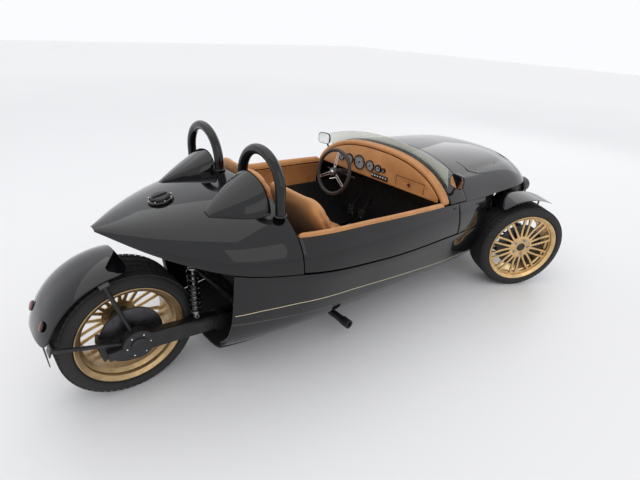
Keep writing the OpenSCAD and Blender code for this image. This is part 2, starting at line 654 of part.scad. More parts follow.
// Rim with its outer flange towards -Y, middle plane at y = 0
rim_wall = 7;
flange_t = 6;
hub_disc_r = 86;
spoke_count = 10;
module rim(w, face_y, hub_t) {
    h = w / 2;
    rotate([90, 0, 0]) {
        rotate_extrude($fn = 96) polygon([
            [flange_r, -h], [flange_r, -h + flange_t], [bead_r, -h + flange_t + 2], [bead_r, -h + 40],
            [bead_r - 18, -h + 56], [bead_r - 18, h - 56], [bead_r, h - 40], [bead_r, h - flange_t - 2],
            [flange_r, h - flange_t], [flange_r, h], [flange_r - 8, h], [bead_r - rim_wall, h - 12],
            [bead_r - rim_wall, h - 38], [bead_r - 18 - rim_wall, h - 54],
            [bead_r - 18 - rim_wall, -h + 54], [bead_r - rim_wall, -h + 38],
            [bead_r - rim_wall, -h + 12], [flange_r - 8, -h]]);
        translate([0, 0, -face_y]) {
            linear_extrude(hub_t) difference() {
                union() {
                    circle(r = hub_disc_r);
                    difference() {
                        circle(r = bead_r - rim_wall + 2);
                        circle(r = bead_r - rim_wall - 10);
                    }
                    for (i = [0:spoke_count - 1], s = [-1, 1])
                        rotate(i * 360 / spoke_count + s * 6.5) translate([60, -6]) square([bead_r - 70, 12]);
                }
                circle(r = 30);
            }
        }
    }
}
front_rim_w = front_tyre_w - 10;
module front_rim() translate([0, -kingpin_offset, 0]) rim(front_rim_w, -62, 22);
module front_rim_right() color("#c9a063") front_corner(-1) front_rim();
module front_rim_left() color("#c9a063") front_corner(1) front_rim();

// Tyre around y = 0: closed ring, its beads between the rim's flanges
module tyre(r, w, rim_w) {
    bead = rim_w / 2 - flange_t - 3;
    half = concat([[bead_r + seat_gap, bead], [flange_r + 2, bead]],
        [[flange_r + 6, w / 2 - 6], [flange_r + 16, w / 2], [r - 26, w / 2 - 3], [r - 9, w / 2 - 14],
            [r - 2, w / 2 - 32], [r, w / 2 - 60]]);
    rotate([90, 0, 0]) rotate_extrude($fn = 96)
        polygon(concat(half, [for (i = [len(half) - 1:-1:0]) [half[i][0], -half[i][1]]]));
}
module front_tyre() translate([0, -kingpin_offset, 0]) tyre(front_tyre_r, front_tyre_w, front_rim_w);
module front_tyre_right() color("#19191b") front_corner(-1) front_tyre();
module front_tyre_left() color("#19191b") front_corner(1) front_tyre();

front_fender_arc = 36;
stay_y = front_tyre_w / 2 - kingpin_offset + 12;
// Cycle fender over the wheel, held by two stays from the knuckle
module front_fender() {
    translate([0, -kingpin_offset, 0]) rotate([90, 0, 0]) translate([0, 0, -front_fender_w / 2])
        rotate([0, 0, 90 - front_fender_arc]) rotate_extrude(angle = 2 * front_fender_arc, $fn = 96)
            translate([front_fender_r, 0]) square([fender_t, front_fender_w]);
    for (s = [-1, 1]) {
        root = [s * 34, 25 + seat_gap + 6, 44];
        knee = [s * 188, stay_y, 92];
        end = [s * 200, stay_y, front_fender_r * cos(asin(200 / front_fender_r))];
        translate(root) rotate([90, 0, 0]) cylinder(h = 12, r = 9, center = true);
        rod(root, knee, 6);
        translate(knee) sphere(r = 8);
        rod(knee, end, 6);
        translate([s * 200 - 10, front_fender_w / 2 - kingpin_offset - 16, end[2] - 12])
            cube([20, stay_y + 6 - front_fender_w / 2 + kingpin_offset + 16, 16]);
    }
}
module front_fender_right() color("#1b1c1f") front_corner(-1) front_fender();
module front_fender_left() color("#1b1c1f") front_corner(1) front_fender();

lamp_x = nose_back_x - 112;
lamp_l = 262;
lamp_y = 516;
lamp_z = belly_z + 506;
module headlights() color("#101012") at_axle() both_sides() {
    translate([lamp_x, -lamp_y, lamp_z]) rotate([0, 90, 0]) rotate_extrude()
        polygon([[0, 0], [20, 0], [40, 12], [headlight_r - 6, 36], [headlight_r, 60],
            [headlight_r, lamp_l - 8], [headlight_r - 8, lamp_l], [0, lamp_l]]);
    rod([lamp_x + 50, -lamp_y + headlight_r - 4, lamp_z], [lamp_x + 50, -frame_y - 10, lamp_z - 40], 9);
    translate([lamp_x + 50, -frame_y - 10, lamp_z - 40]) sphere(r = 11);
    rod([lamp_x + 50, -frame_y - 10, lamp_z - 40], [lamp_x + 50, -frame_y - 10, frame_z + 60 + seat_gap], 9);
}

// ---- Rear end ----

axle_r = 20;
arm_t = 52;
hub_boss_r = 74;
arm_y = -(rear_tyre_w / 2 + arm_gap + arm_t);
pivot_x = arch_x + 66;
pivot_pin_r = 16;
pivot_z = 262;
arm_lean = atan((rear_tyre_r - pivot_z) / pivot_x);
module rear_wheel_axes() at_axle() translate([0, 0, rear_tyre_r]) children();
module swing_arm() color("#1d1e20") rear_wheel_axes() {
    rotate([90, 0, 0]) {
        translate([0, 0, -arm_y - arm_t]) cylinder(h = arm_t, r = hub_boss_r);
        translate([0, 0, -96]) cylinder(h = 100 - arm_y - arm_t, r = axle_r);
        translate([0, 0, -arm_y - 4]) cylinder(h = 14, r = 40);
    }
    translate([20, arm_y + 2, 0]) rotate([0, arm_lean, 0]) translate([0, 0, -44])
        cube([(pivot_x - 20) / cos(arm_lean) - 26, arm_t - 4, 88]);
    difference() {
        translate([pivot_x, arm_y, pivot_z - rear_tyre_r]) rotate([-90, 0, 0]) cylinder(h = arm_t, r = 48);
        translate([pivot_x, arm_y - 1, pivot_z - rear_tyre_r]) rotate([-90, 0, 0])
            cylinder(h = arm_t + 2, r = pivot_pin_r + run_fit);
    }
    rear_caliper();
}
rear_disc_r = 150;
rear_disc_y = -112;
module rear_caliper() {
    translate([-135, arm_y + 6, -36]) cube([90, arm_t - 2, 44]);
    rear_caliper_body();
}
module rear_caliper_body() difference() {
    rotate([90, 0, 0]) translate([0, 0, -rear_disc_y - 22]) rotate([0, 0, 160])
        rotate_extrude(angle = 40) translate([rear_disc_r - 44, 0]) square([54, arm_gap + 60]);
    rotate([90, 0, 0]) translate([0, 0, -rear_disc_y - 3]) cylinder(h = disc_t + 6, r = rear_disc_r + 3);
}
module rear_brake() color("#9a9ca0") rear_wheel_axes() rotate([90, 0, 0]) difference() {
    union() {
        translate([0, 0, -rear_disc_y]) cylinder(h = disc_t, r = rear_disc_r);
        translate([0, 0, -60 + seat_gap]) cylinder(h = 60 - rear_disc_y, r = 52);
    }
    translate([0, 0, -100]) cylinder(h = 300, r = axle_r + run_fit);
}
rear_rim_w = rear_tyre_w - 18;
module rear_rim() color("#c9a063") rear_wheel_axes() rim(rear_rim_w, 82, 22);
module rear_tyre() color("#19191b") rear_wheel_axes() tyre(rear_tyre_r, rear_tyre_w, rear_rim_w);

damper_x = arch_x - 62;
rear_damper_y = arm_y + arm_t / 2;
tower_z = belly_z + 566;
// Height of the swing arm's top face at station x
function arm_top(x) = rear_tyre_r + (44 - (x - 20) * sin(arm_lean)) / cos(arm_lean);
module rear_damper() color("#26262a") at_axle() {
    head = [damper_x, rear_damper_y, tower_z - eye_r - seat_gap];
    foot = [damper_x - 6, rear_damper_y, arm_top(damper_x - 6) + eye_r + 2 * seat_gap];
    translate(foot) sphere(r = eye_r);
    translate(head) sphere(r = eye_r);
    rod(foot, head, 12);
    d = unit(head - foot);
    for (i = [0:8]) rod(foot + d * (36 + 27 * i), foot + d * (50 + 27 * i), 31);
}

module rear_frame() color("#222326") at_axle() {
    // Pivot cheeks and pin, carried by the cross tube inside the body
    for (y = [arm_y - 14.5, arm_y + arm_t + 0.5])
        translate([pivot_x, y, pivot_z]) rotate([-90, 0, 0]) cylinder(h = 14, r = 52);
    translate([pivot_x, arm_y - 14.5, pivot_z]) rotate([-90, 0, 0]) cylinder(h = arm_t + 29, r = pivot_pin_r);
    translate([pivot_x + 20, arm_y - 14.5, pivot_z - 40]) cube([150, 14, 80]);
    translate([pivot_x + 20, arm_y + arm_t + 0.5, pivot_z - 40]) cube([150, 14, 80]);
    translate([pivot_x + 140, -360, pivot_z - 30])
        cube([rear_wall_x - seat_gap - pivot_x - 140, 720, 60]);
    // Tower for the damper's top eye
    translate([damper_x - 16, rear_damper_y - 22, tower_z])
        cube([rear_wall_x - seat_gap - damper_x + 16, 44, 34]);
    for (y = [-140, -100]) rod([200, y, 770], [pivot_x + 150, y, pivot_z + 20], 11);
}

crown_h = 26;
// Inside radius of the rear fender at v across it
function fender_r(v) = rear_fender_r - crown_h * (abs(v) / (rear_fender_w / 2)) ^ 2.6;
function fender_grid(extra) =
    [for (a = steps(fender_lo, fender_hi, 14)) [for (v = steps(-rear_fender_w / 2, rear_fender_w / 2, 12))
        let (r = fender_r(v) + extra) [cos(a) * r, v, sin(a) * r]]];
module rear_fender() color("#1b1c1f") rear_wheel_axes() grid_solid(fender_grid(0), fender_grid(fender_t));
strut_angles = [104, 160];
module fender_struts() color("#17171a") rear_wheel_axes() for (a = strut_angles) {
    r0 = hub_boss_r + seat_gap;
    r1 = rear_fender_r - crown_h - 1.3;
    y = arm_y + arm_t / 2;
    rod([r0 * cos(a), y, r0 * sin(a)], [(r1 - 4) * cos(a), y, (r1 - 4) * sin(a)], 10);
    rotate([0, -a, 0]) translate([r1 - 6, y - 10, -22]) cube([6, 56, 44]);
}

plate_spacing = 178;
module plate_bracket() color("#1a1a1c") rear_wheel_axes() difference() {
    r = rear_fender_r - crown_h - 3;
    x = cos(fender_hi) * r;
    union() {
        translate([x - 10, -120, -6]) cube([4, 240, 100]);
        for (y = [-60, 60]) let (r2 = fender_r(y) - 6 - 2 * seat_gap, a = fender_hi - 4) {
            rod([x - 8, y, 84], [r2 * cos(a), y, r2 * sin(a)], 6);
            translate([r2 * cos(a), y, r2 * sin(a)]) sphere(r = 6);
        }
    }
    for (s = [-1, 1]) translate([x - 16, s * plate_spacing / 2, 50]) rotate([0, 90, 0]) cylinder(h = 24, r = 3.5);
}

module tail_lights() color("#7d1418") rear_wheel_axes() for (s = [-1, 1]) {
    a = 150;
    y = s * 96;
    r = fender_r(y) + fender_t;
    rotate([0, -a, 0]) translate([r + 3, y, 0]) rotate([0, 90, 0]) cylinder(h = 14, r = 24);
}

exhaust_r = 24;
module exhaust() color("#2b2b2e") at_axle() {
    z = belly_z - exhaust_r - 0.5;
    translate([1128, -460, z]) rotate([90, 0, 0]) rotate_extrude()
        translate([exhaust_r - 5, 0]) square([9, 60]);
    rod([1128, -500, z], [1128, -40, z], exhaust_r - 1);
    translate([1128, -40, z]) sphere(r = exhaust_r);
    rod([1128, -40, z], [1620, -40, z], exhaust_r - 0.5);
}

floor_pan();
side_panels();
tail_deck();
headrest_fairings();
roll_hoops();
fuel_cap();
bulkheads();
cowl();
front_quarter_panels();
hood();
nose_cowl();
grille();
headlights();
cowl_trim();
dash_panel();
instruments();
glovebox_lid();
steering_column();
steering_wheel();
windscreen();
mirrors();
seat_bases();
seat_cushions();
seat_backs();
centre_tunnel();
driver_controls();
door_right();
door_left();
door_rail_right();
door_rail_left();
front_subframe();
engine_block();
wishbones();
front_dampers();
driveshafts();
steering_rack();
knuckle_right();
knuckle_left();
front_fender_right();
front_fender_left();
front_brake_right();
front_brake_left();
front_rim_right();
front_rim_left();
front_tyre_right();
front_tyre_left();
rear_frame();
swing_arm();
rear_damper();
rear_brake();
rear_rim();
rear_tyre();
rear_fender();
fender_struts();
plate_bracket();
tail_lights();
exhaust();
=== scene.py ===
"""Looks of an open three-wheeled roadster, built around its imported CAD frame."""
import json
import logging
import math
from dataclasses import dataclass, field
from enum import Enum
from typing import Callable, Iterable, Optional, Sequence

import bmesh
import bpy
import numpy as np
from mathutils import Matrix, Vector

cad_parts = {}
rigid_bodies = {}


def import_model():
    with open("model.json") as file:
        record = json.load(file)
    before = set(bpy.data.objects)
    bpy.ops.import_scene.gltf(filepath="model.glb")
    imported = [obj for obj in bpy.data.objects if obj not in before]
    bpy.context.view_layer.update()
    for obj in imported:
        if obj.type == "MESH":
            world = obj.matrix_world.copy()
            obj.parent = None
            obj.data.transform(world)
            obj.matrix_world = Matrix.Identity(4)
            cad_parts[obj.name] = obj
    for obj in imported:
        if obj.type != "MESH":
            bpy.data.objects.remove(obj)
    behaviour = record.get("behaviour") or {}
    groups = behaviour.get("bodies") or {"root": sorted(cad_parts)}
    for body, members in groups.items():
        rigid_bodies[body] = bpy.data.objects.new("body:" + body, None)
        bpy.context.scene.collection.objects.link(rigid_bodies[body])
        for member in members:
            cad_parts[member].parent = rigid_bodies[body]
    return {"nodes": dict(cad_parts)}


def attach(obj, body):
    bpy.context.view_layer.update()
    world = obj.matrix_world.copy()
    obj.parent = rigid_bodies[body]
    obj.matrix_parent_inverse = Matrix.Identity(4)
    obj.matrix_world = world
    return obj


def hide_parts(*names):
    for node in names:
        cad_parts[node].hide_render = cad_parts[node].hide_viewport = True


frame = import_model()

LOG = logging.getLogger("roadster")
Grid = list[list[np.ndarray]]
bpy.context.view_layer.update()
ORIGIN_X = -1.4426908
REAR_HUB_Z = 0.328
FRONT_HUB_Z = 0.322
WHEELBASE = 2.64
KINGPIN_Y = 0.7525
STEER_AT_REST = -32
FENDER_T = 0.004
LAMP_Y, LAMP_Z = 0.516, 0.626


# ---- Finishes ----


class Graph:
    """A material's node tree with short ways to add what every finish needs."""

    def __init__(self, name: str) -> None:
        """Starts a material with one Principled shader."""
        self.material = bpy.data.materials.new(name)
        self.material.use_nodes = True
        self.tree = self.material.node_tree
        self.shader = self.tree.nodes["Principled BSDF"]
        self.coords = self.tree.nodes.new("ShaderNodeTexCoord").outputs["Object"]

    def set(self, **values: object) -> "Graph":
        """Sets constants on the shader's own sockets.

        Args:
            values: Socket names with underscores for spaces.

        Returns:
            This graph.
        """
        for key, value in values.items():
            self.shader.inputs[key.replace("_", " ")].default_value = value
        return self

    def noise(self, scale: float, detail: float = 4.0,
              stretch: tuple[float, float, float] = (1, 1, 1)) -> bpy.types.NodeSocket:
        """Noise on object coordinates.

        Args:
            scale: Features per metre.
            detail: Octaves.
            stretch: Scale along each axis.

        Returns:
            The factor socket.
        """
        mapping = self.tree.nodes.new("ShaderNodeMapping")
        mapping.inputs["Scale"].default_value = stretch
        node = self.tree.nodes.new("ShaderNodeTexNoise")
        node.inputs["Scale"].default_value = scale
        node.inputs["Detail"].default_value = detail
        self.tree.links.new(self.coords, mapping.inputs["Vector"])
        self.tree.links.new(mapping.outputs["Vector"], node.inputs["Vector"])
        return node.outputs["Fac"]

    def distance(self, reach: float) -> bpy.types.NodeSocket:
        """Distance from the object's origin, as a share of a reach in metres."""
        length, share = self.tree.nodes.new("ShaderNodeVectorMath"), self.tree.nodes.new("ShaderNodeMath")
        length.operation, share.operation = "LENGTH", "DIVIDE"
        share.inputs[1].default_value = reach
        self.tree.links.new(self.coords, length.inputs[0])
        self.tree.links.new(length.outputs["Value"], share.inputs[0])
        return share.outputs["Value"]

    def cells(self, scale: float) -> bpy.types.NodeSocket:
        """Voronoi distance-to-edge pattern, as on grained hide.

        Args:
            scale: Cells per metre.

        Returns:
            The distance socket.
        """
        node = self.tree.nodes.new("ShaderNodeTexVoronoi")
        node.feature = "DISTANCE_TO_EDGE"
        node.inputs["Scale"].default_value = scale
        self.tree.links.new(self.coords, node.inputs["Vector"])
        return node.outputs["Distance"]

    def ramp(self, factor: bpy.types.NodeSocket, low: float, high: float, a: Sequence[float],
             b: Sequence[float]) -> bpy.types.NodeSocket:
        """Maps a factor between two colours.

        Args:
            factor: What drives it.
            low: Factor at which the first colour ends.
            high: Factor at which the second begins.
            a: First colour, RGB.
            b: Second colour, RGB.

        Returns:
            The colour socket.
        """
        node = self.tree.nodes.new("ShaderNodeValToRGB")
        node.color_ramp.elements[0].position, node.color_ramp.elements[1].position = low, high
        node.color_ramp.elements[0].color = (*a, 1)
        node.color_ramp.elements[1].color = (*b, 1)
        self.tree.links.new(factor, node.inputs["Fac"])
        return node.outputs["Color"]

    def colour(self, socket: bpy.types.NodeSocket) -> "Graph":
        """Links a colour into the shader."""
        self.tree.links.new(socket, self.shader.inputs["Base Color"])
        return self

    def roughness(self, factor: bpy.types.NodeSocket, low: float, high: float) -> "Graph":
        """Varies roughness between two values by a factor.

        Args:
            factor: What drives it.
            low: Roughness where the factor is low.
            high: Roughness where it is high.

        Returns:
            This graph.
        """
        node = self.tree.nodes.new("ShaderNodeMapRange")
        node.inputs["From Min"].default_value, node.inputs["From Max"].default_value = 0.3, 0.7
        node.inputs["To Min"].default_value, node.inputs["To Max"].default_value = low, high
        self.tree.links.new(factor, node.inputs["Value"])
        self.tree.links.new(node.outputs["Result"], self.shader.inputs["Roughness"])
        return self

    def bump(self, height: bpy.types.NodeSocket, strength: float, distance: float) -> "Graph":
        """Adds a bump on top of any bump already there.

        Args:
            height: What drives it.
            strength: From 0 to 1.
            distance: Relief in metres.

        Returns:
            This graph.
        """
        node = self.tree.nodes.new("ShaderNodeBump")
        node.inputs["Strength"].default_value = strength
        node.inputs["Distance"].default_value = distance
        self.tree.links.new(height, node.inputs["Height"])
        if self.shader.inputs["Normal"].links:
            self.tree.links.new(self.shader.inputs["Normal"].links[0].from_socket, node.inputs["Normal"])
        self.tree.links.new(node.outputs["Normal"], self.shader.inputs["Normal"])
        return self


@dataclass(frozen=True)
class Lacquer:
    """Polished paint under clear coat."""

    name: str
    base: tuple[float, float, float]

    def make(self) -> bpy.types.Material:
        """Builds the material."""
        g = Graph(self.name).set(Coat_Weight=0.4, Coat_Roughness=0.02, Metallic=0.0, Specular_IOR_Level=0.24)
        deep = tuple(c * 0.7 for c in self.base)
        g.colour(g.ramp(g.noise(420, 2), 0.42, 0.62, deep, self.base))
        return g.roughness(g.noise(3.0, 3), 0.03, 0.07).bump(g.noise(90, 2), 0.02, 0.0004).material


@dataclass(frozen=True)
class Coating:
    """Satin powder coat or moulded plastic with a fine tooth."""

    name: str
    base: tuple[float, float, float]
    rough: float = 0.42
    tooth: float = 900.0

    def make(self) -> bpy.types.Material:
        """Builds the material."""
        g = Graph(self.name)
        worn = tuple(min(1.0, c * 1.7 + 0.004) for c in self.base)
        g.colour(g.ramp(g.noise(14, 6), 0.5, 0.8, self.base, worn))
        g.roughness(g.noise(30, 5), self.rough - 0.08, self.rough + 0.12)
        return g.bump(g.noise(self.tooth, 3), 0.18, 0.0005).material


@dataclass(frozen=True)
class Hide:
    """Grained leather with creases and a little wear."""

    name: str
    light: tuple[float, float, float]
    dark: tuple[float, float, float]
    grain: float = 620.0

    def make(self) -> bpy.types.Material:
        """Builds the material."""
        g = Graph(self.name).set(Sheen_Weight=0.12, Sheen_Roughness=0.5, Specular_IOR_Level=0.42)
        g.colour(g.ramp(g.noise(7, 6), 0.34, 0.66, self.dark, self.light))
        g.roughness(g.noise(24, 5), 0.42, 0.6)
        g.bump(g.cells(self.grain), 0.3, 0.0006)
        return g.bump(g.noise(46, 5), 0.16, 0.0016).material


@dataclass(frozen=True)
class Metal:
    """Painted, cast, brushed or polished metal."""

    name: str
    base: tuple[float, float, float]
    rough: float = 0.3
    metallic: float = 1.0
    brushed: tuple[float, float, float] = (1, 1, 1)

    def make(self) -> bpy.types.Material:
        """Builds the material."""
        g = Graph(self.name).set(Metallic=self.metallic)
        shade = tuple(c * 0.78 for c in self.base)
        g.colour(g.ramp(g.noise(26, 6, self.brushed), 0.36, 0.64, shade, self.base))
        g.roughness(g.noise(60, 4, self.brushed), self.rough * 0.8, self.rough * 1.25)
        return g.bump(g.noise(340, 3, self.brushed), 0.1, 0.0004).material


@dataclass(frozen=True)
class Rubber:
    """Tyre rubber with dust in its pores."""

    name: str

    def make(self) -> bpy.types.Material:
        """Builds the material."""
        g = Graph(self.name).set(Specular_IOR_Level=0.35)
        g.colour(g.ramp(g.noise(22, 7), 0.4, 0.75, (0.011, 0.011, 0.012), (0.032, 0.031, 0.03)))
        return g.roughness(g.noise(40, 5), 0.5, 0.72).bump(g.noise(700, 4), 0.25, 0.0007).material


@dataclass(frozen=True)
class Clear:
    """Glass or clear plastic."""

    name: str
    tint: tuple[float, float, float]
    rough: float = 0.02
    through: float = 1.0

    def make(self) -> bpy.types.Material:
        """Builds the material."""
        g = Graph(self.name).set(Transmission_Weight=self.through, IOR=1.45, Base_Color=(*self.tint, 1))
        return g.roughness(g.noise(5, 3), self.rough, self.rough + 0.02).bump(g.noise(8, 2), 0.02, 0.001).material


@dataclass(frozen=True)
class Dial:
    """Printed instrument face."""

    name: str
    base: tuple[float, float, float]

    def make(self) -> bpy.types.Material:
        """Builds the material."""
        g = Graph(self.name)
        g.colour(g.ramp(g.noise(90, 4), 0.3, 0.7, tuple(c * 0.9 for c in self.base), self.base))
        return g.roughness(g.noise(200, 2), 0.3, 0.4).bump(g.noise(900, 2), 0.05, 0.0002).material


class Look(Enum):
    """Every finish on the roadster."""

    PAINT = Lacquer("black_lacquer", (0.0045, 0.0048, 0.0056))
    HOOP = Lacquer("hoop_lacquer", (0.004, 0.004, 0.0046))
    FRAME = Coating("frame_coat", (0.011, 0.011, 0.012), 0.4)
    PLASTIC = Coating("moulded_black", (0.013, 0.013, 0.014), 0.5, 1400.0)
    CARPET = Coating("cabin_lining", (0.008, 0.008, 0.009), 0.85, 2600.0)
    TAN = Hide("tan_hide", (0.57, 0.268, 0.094), (0.47, 0.21, 0.07))
    STITCH = Coating("tan_thread", (0.72, 0.44, 0.2), 0.7, 3000.0)
    GRIP = Hide("grip_hide", (0.034, 0.026, 0.022), (0.017, 0.013, 0.012), 900.0)
    GOLD = Metal("wheel_gold", (0.74, 0.51, 0.25), 0.3, 0.85)
    # Darker copy of the wheel gold: painted shade on the rear barrel, which sits under the fender.
    GOLD_PAINTED_SHADE = Metal("barrel_gold_painted_shade", (0.5, 0.35, 0.18), 0.34, 0.85)
    IRON = Metal("disc_iron", (0.09, 0.09, 0.095), 0.46, 1.0, (1, 8, 1))
    STEEL = Metal("bare_steel", (0.42, 0.42, 0.43), 0.36, 1.0, (1, 1, 6))
    CHROME = Metal("bright_trim", (0.86, 0.86, 0.87), 0.09)
    ALLOY = Metal("spoke_alloy", (0.66, 0.66, 0.67), 0.26, 1.0, (6, 1, 1))
    CASTING = Metal("engine_casting", (0.12, 0.12, 0.125), 0.5, 0.9)
    CALIPER = Lacquer("caliper_red", (0.16, 0.012, 0.02))
    TYRE = Rubber("tyre_rubber")
    GLASS = Clear("screen_glass", (0.70, 0.89, 0.79))
    LENS = Clear("lamp_glass", (0.95, 0.96, 0.97))
    RED = Clear("tail_lens", (0.20, 0.006, 0.006), 0.08, 0.25)
    MIRROR = Metal("mirror_silver", (0.9, 0.9, 0.9), 0.02)
    DIAL = Dial("dial_face", (0.66, 0.69, 0.73))
    INK = Coating("dial_ink", (0.015, 0.015, 0.018), 0.5, 3000.0)
    STRIPE = Lacquer("cream_line", (0.74, 0.66, 0.44))

    def material(self) -> bpy.types.Material:
        """The finish's material, made once."""
        return bpy.data.materials.get(self.value.name) or self.value.make()


# ---- Mesh making ----


def placed(x: float, y: float, z: float) -> np.ndarray:
    """A point given in mm from the rear axle, in metres and in place."""
    return np.array([x, y, z]) / 1000 + [ORIGIN_X, 0, 0]


def spot(x: float, y: float, z: float, deg: float = 0.0, axis: str = "Z") -> Matrix:
    """A place in metres, turned by some degrees about one axis."""
    return Matrix.Translation((x, y, z)) @ Matrix.Rotation(math.radians(deg), 4, axis)


def power(value: float, n: float) -> float:
    """A power that keeps its sign."""
    return math.copysign(abs(value) ** n, value)


def fender_r(y: float) -> float:
    """Inner radius of the rear fender at y, in metres: its crown falls towards both edges."""
    return (392 - 26 * abs(y / 0.165) ** 2.6) / 1000


def turns(count: int) -> list[float]:
    """Even steps round a circle, in radians."""
    return [2 * math.pi * k / count for k in range(count)]


class Shape:
    """A mesh being built up, in metres."""

    def __init__(self) -> None:
        """Starts with nothing."""
        self.verts: list[Sequence[float]] = []
        self.faces: list[tuple[int, ...]] = []

    def add(self, verts: Iterable[Sequence[float]], faces: Iterable[Sequence[int]]) -> "Shape":
        """Adds points and faces.

        Args:
            verts: The points.
            faces: Faces that count from the first of these points.

        Returns:
            This shape.
        """
        n = len(self.verts)
        self.verts.extend(tuple(map(float, v)) for v in verts)
        self.faces.extend(tuple(n + i for i in f) for f in faces)
        return self

    def grids(self, outer: Grid, inner: Grid) -> "Shape":
        """Adds a closed wall between two grids of points.

        Args:
            outer: Rows of points of the outside.
            inner: The same for the inside.

        Returns:
            This shape.
        """
        r, c = len(outer), len(outer[0])
        n = r * c
        faces: list[tuple[int, ...]] = []
        for i in range(r - 1):
            for j in range(c - 1):
                a, b, d, e = i * c + j, i * c + j + 1, (i + 1) * c + j + 1, (i + 1) * c + j
                faces += [(a, b, d, e), (n + a, n + e, n + d, n + b)]
        for i in range(r - 1):
            a, b = i * c, (i + 1) * c
            faces += [(a, b, n + b, n + a), (a + c - 1, n + a + c - 1, n + b + c - 1, b + c - 1)]
        for j in range(c - 1):
            a, b = j, (r - 1) * c + j
            faces += [(a, n + a, n + a + 1, a + 1), (b, b + 1, n + b + 1, n + b)]
        return self.add([p for row in outer for p in row] + [p for row in inner for p in row], faces)

    def loft(self, rings: Sequence[Sequence[Sequence[float]]], closed: bool = False) -> "Shape":
        """Adds a skin through loops of points, with flat ends unless it closes on itself.

        Args:
            rings: Loops with the same number of points.
            closed: Whether the last loop joins the first.

        Returns:
            This shape.
        """
        m, n = len(rings), len(rings[0])
        faces: list[tuple[int, ...]] = []
        for i in range(m if closed else m - 1):
            for j in range(n):
                a, b = i * n, ((i + 1) % m) * n
                faces.append((a + j, a + (j + 1) % n, b + (j + 1) % n, b + j))
        if not closed:
            faces += [tuple(range(n - 1, -1, -1)), tuple((m - 1) * n + j for j in range(n))]
        return self.add([p for ring in rings for p in ring], faces)

    def lathe(self, profile: Sequence[tuple[float, float]], segments: int = 96, place: Matrix = Matrix()) -> "Shape":
        """Adds a solid of revolution about the local Y axis.

        Args:
            profile: Radius and place along the axis; a closed loop, or one that starts and ends on the axis.
            segments: Steps round the axis.
            place: Moves it to its place.

        Returns:
            This shape.
        """
        rings = [[place @ Vector((r * math.cos(t), y, r * math.sin(t))) for r, y in profile]
                 for t in turns(segments)]
        return self.loft(rings, closed=True)

    def tube(self, path: Sequence[Sequence[float]], radius: float | Sequence[float], sides: int = 16,
             closed: bool = False) -> "Shape":
        """Adds a round bar along a path.

        Args:
            path: Points in order.
            radius: One radius, or one for each point.
            sides: Points round the bar.
            closed: Whether the path joins up.

        Returns:
            This shape.
        """
        pts = [np.array(p, float) for p in path]
        n = len(pts)
        radii = [radius] * n if isinstance(radius, (int, float)) else list(radius)
        side: Optional[np.ndarray] = None
        rings = []
        for i in range(n):
            a = pts[(i - 1) % n] if closed or i else pts[i]
            b = pts[(i + 1) % n] if closed or i < n - 1 else pts[i]
            t = (b - a) / np.linalg.norm(b - a)
            if side is None:
                side = np.cross(t, [0.31, 0.2, 0.93])
            side = side - t * side.dot(t)
            side /= np.linalg.norm(side)
            up = np.cross(t, side)
            rings.append([pts[i] + radii[i] * (side * math.cos(w) + up * math.sin(w))
                          for w in turns(sides)])
        return self.loft(rings, closed)

    def block(self, lo: Sequence[float], hi: Sequence[float], place: Matrix = Matrix()) -> "Shape":
        """Adds a box between two corners, moved by place."""
        pts = [place @ Vector((x, y, z)) for x in (lo[0], hi[0]) for y in (lo[1], hi[1]) for z in (lo[2], hi[2])]
        return self.add(pts, [(0, 1, 3, 2), (4, 6, 7, 5), (0, 4, 5, 1), (2, 3, 7, 6), (0, 2, 6, 4), (1, 5, 7, 3)])

    def moved(self, place: Matrix) -> "Shape":
        """Moves everything so far."""
        self.verts = [tuple(place @ Vector(v)) for v in self.verts]
        return self

    def mirrored(self) -> "Shape":
        """Adds a copy on the other side of the vehicle."""
        n = len(self.verts)
        self.faces += [tuple(n + i for i in reversed(f)) for f in self.faces]
        self.verts += [(x, -y, z) for x, y, z in self.verts]
        return self

    def mesh(self, name: str) -> bpy.types.Mesh:
        """Turns the shape into a mesh with doubles merged and faces outwards."""
        mesh = bpy.data.meshes.new(name)
        mesh.from_pydata(self.verts, [], self.faces)
        return tidy(mesh)


def tidy(mesh: bpy.types.Mesh, flat: bool = False) -> bpy.types.Mesh:
    """Merges doubles and points the faces outwards.

    Args:
        mesh: The mesh to clean.
        flat: Whether triangles in one plane are joined first.

    Returns:
        The same mesh.
    """
    bm = bmesh.new()
    bm.from_mesh(mesh)
    bmesh.ops.remove_doubles(bm, verts=bm.verts, dist=2e-6)
    bmesh.ops.dissolve_degenerate(bm, edges=bm.edges, dist=1e-6)
    bmesh.ops.delete(bm, geom=[e for e in bm.edges if not e.link_faces], context="EDGES")
    if flat:
        bmesh.ops.dissolve_limit(bm, angle_limit=math.radians(1.2), verts=bm.verts, edges=bm.edges)
    bmesh.ops.recalc_face_normals(bm, faces=bm.faces)
    bm.to_mesh(mesh)
    bm.free()
    return mesh


def baked(obj: bpy.types.Object) -> bpy.types.Object:
    """Turns an object's modifiers into plain mesh."""
    mesh = bpy.data.meshes.new_from_object(obj.evaluated_get(bpy.context.evaluated_depsgraph_get()))
    obj.modifiers.clear()
    obj.data = mesh
    return obj


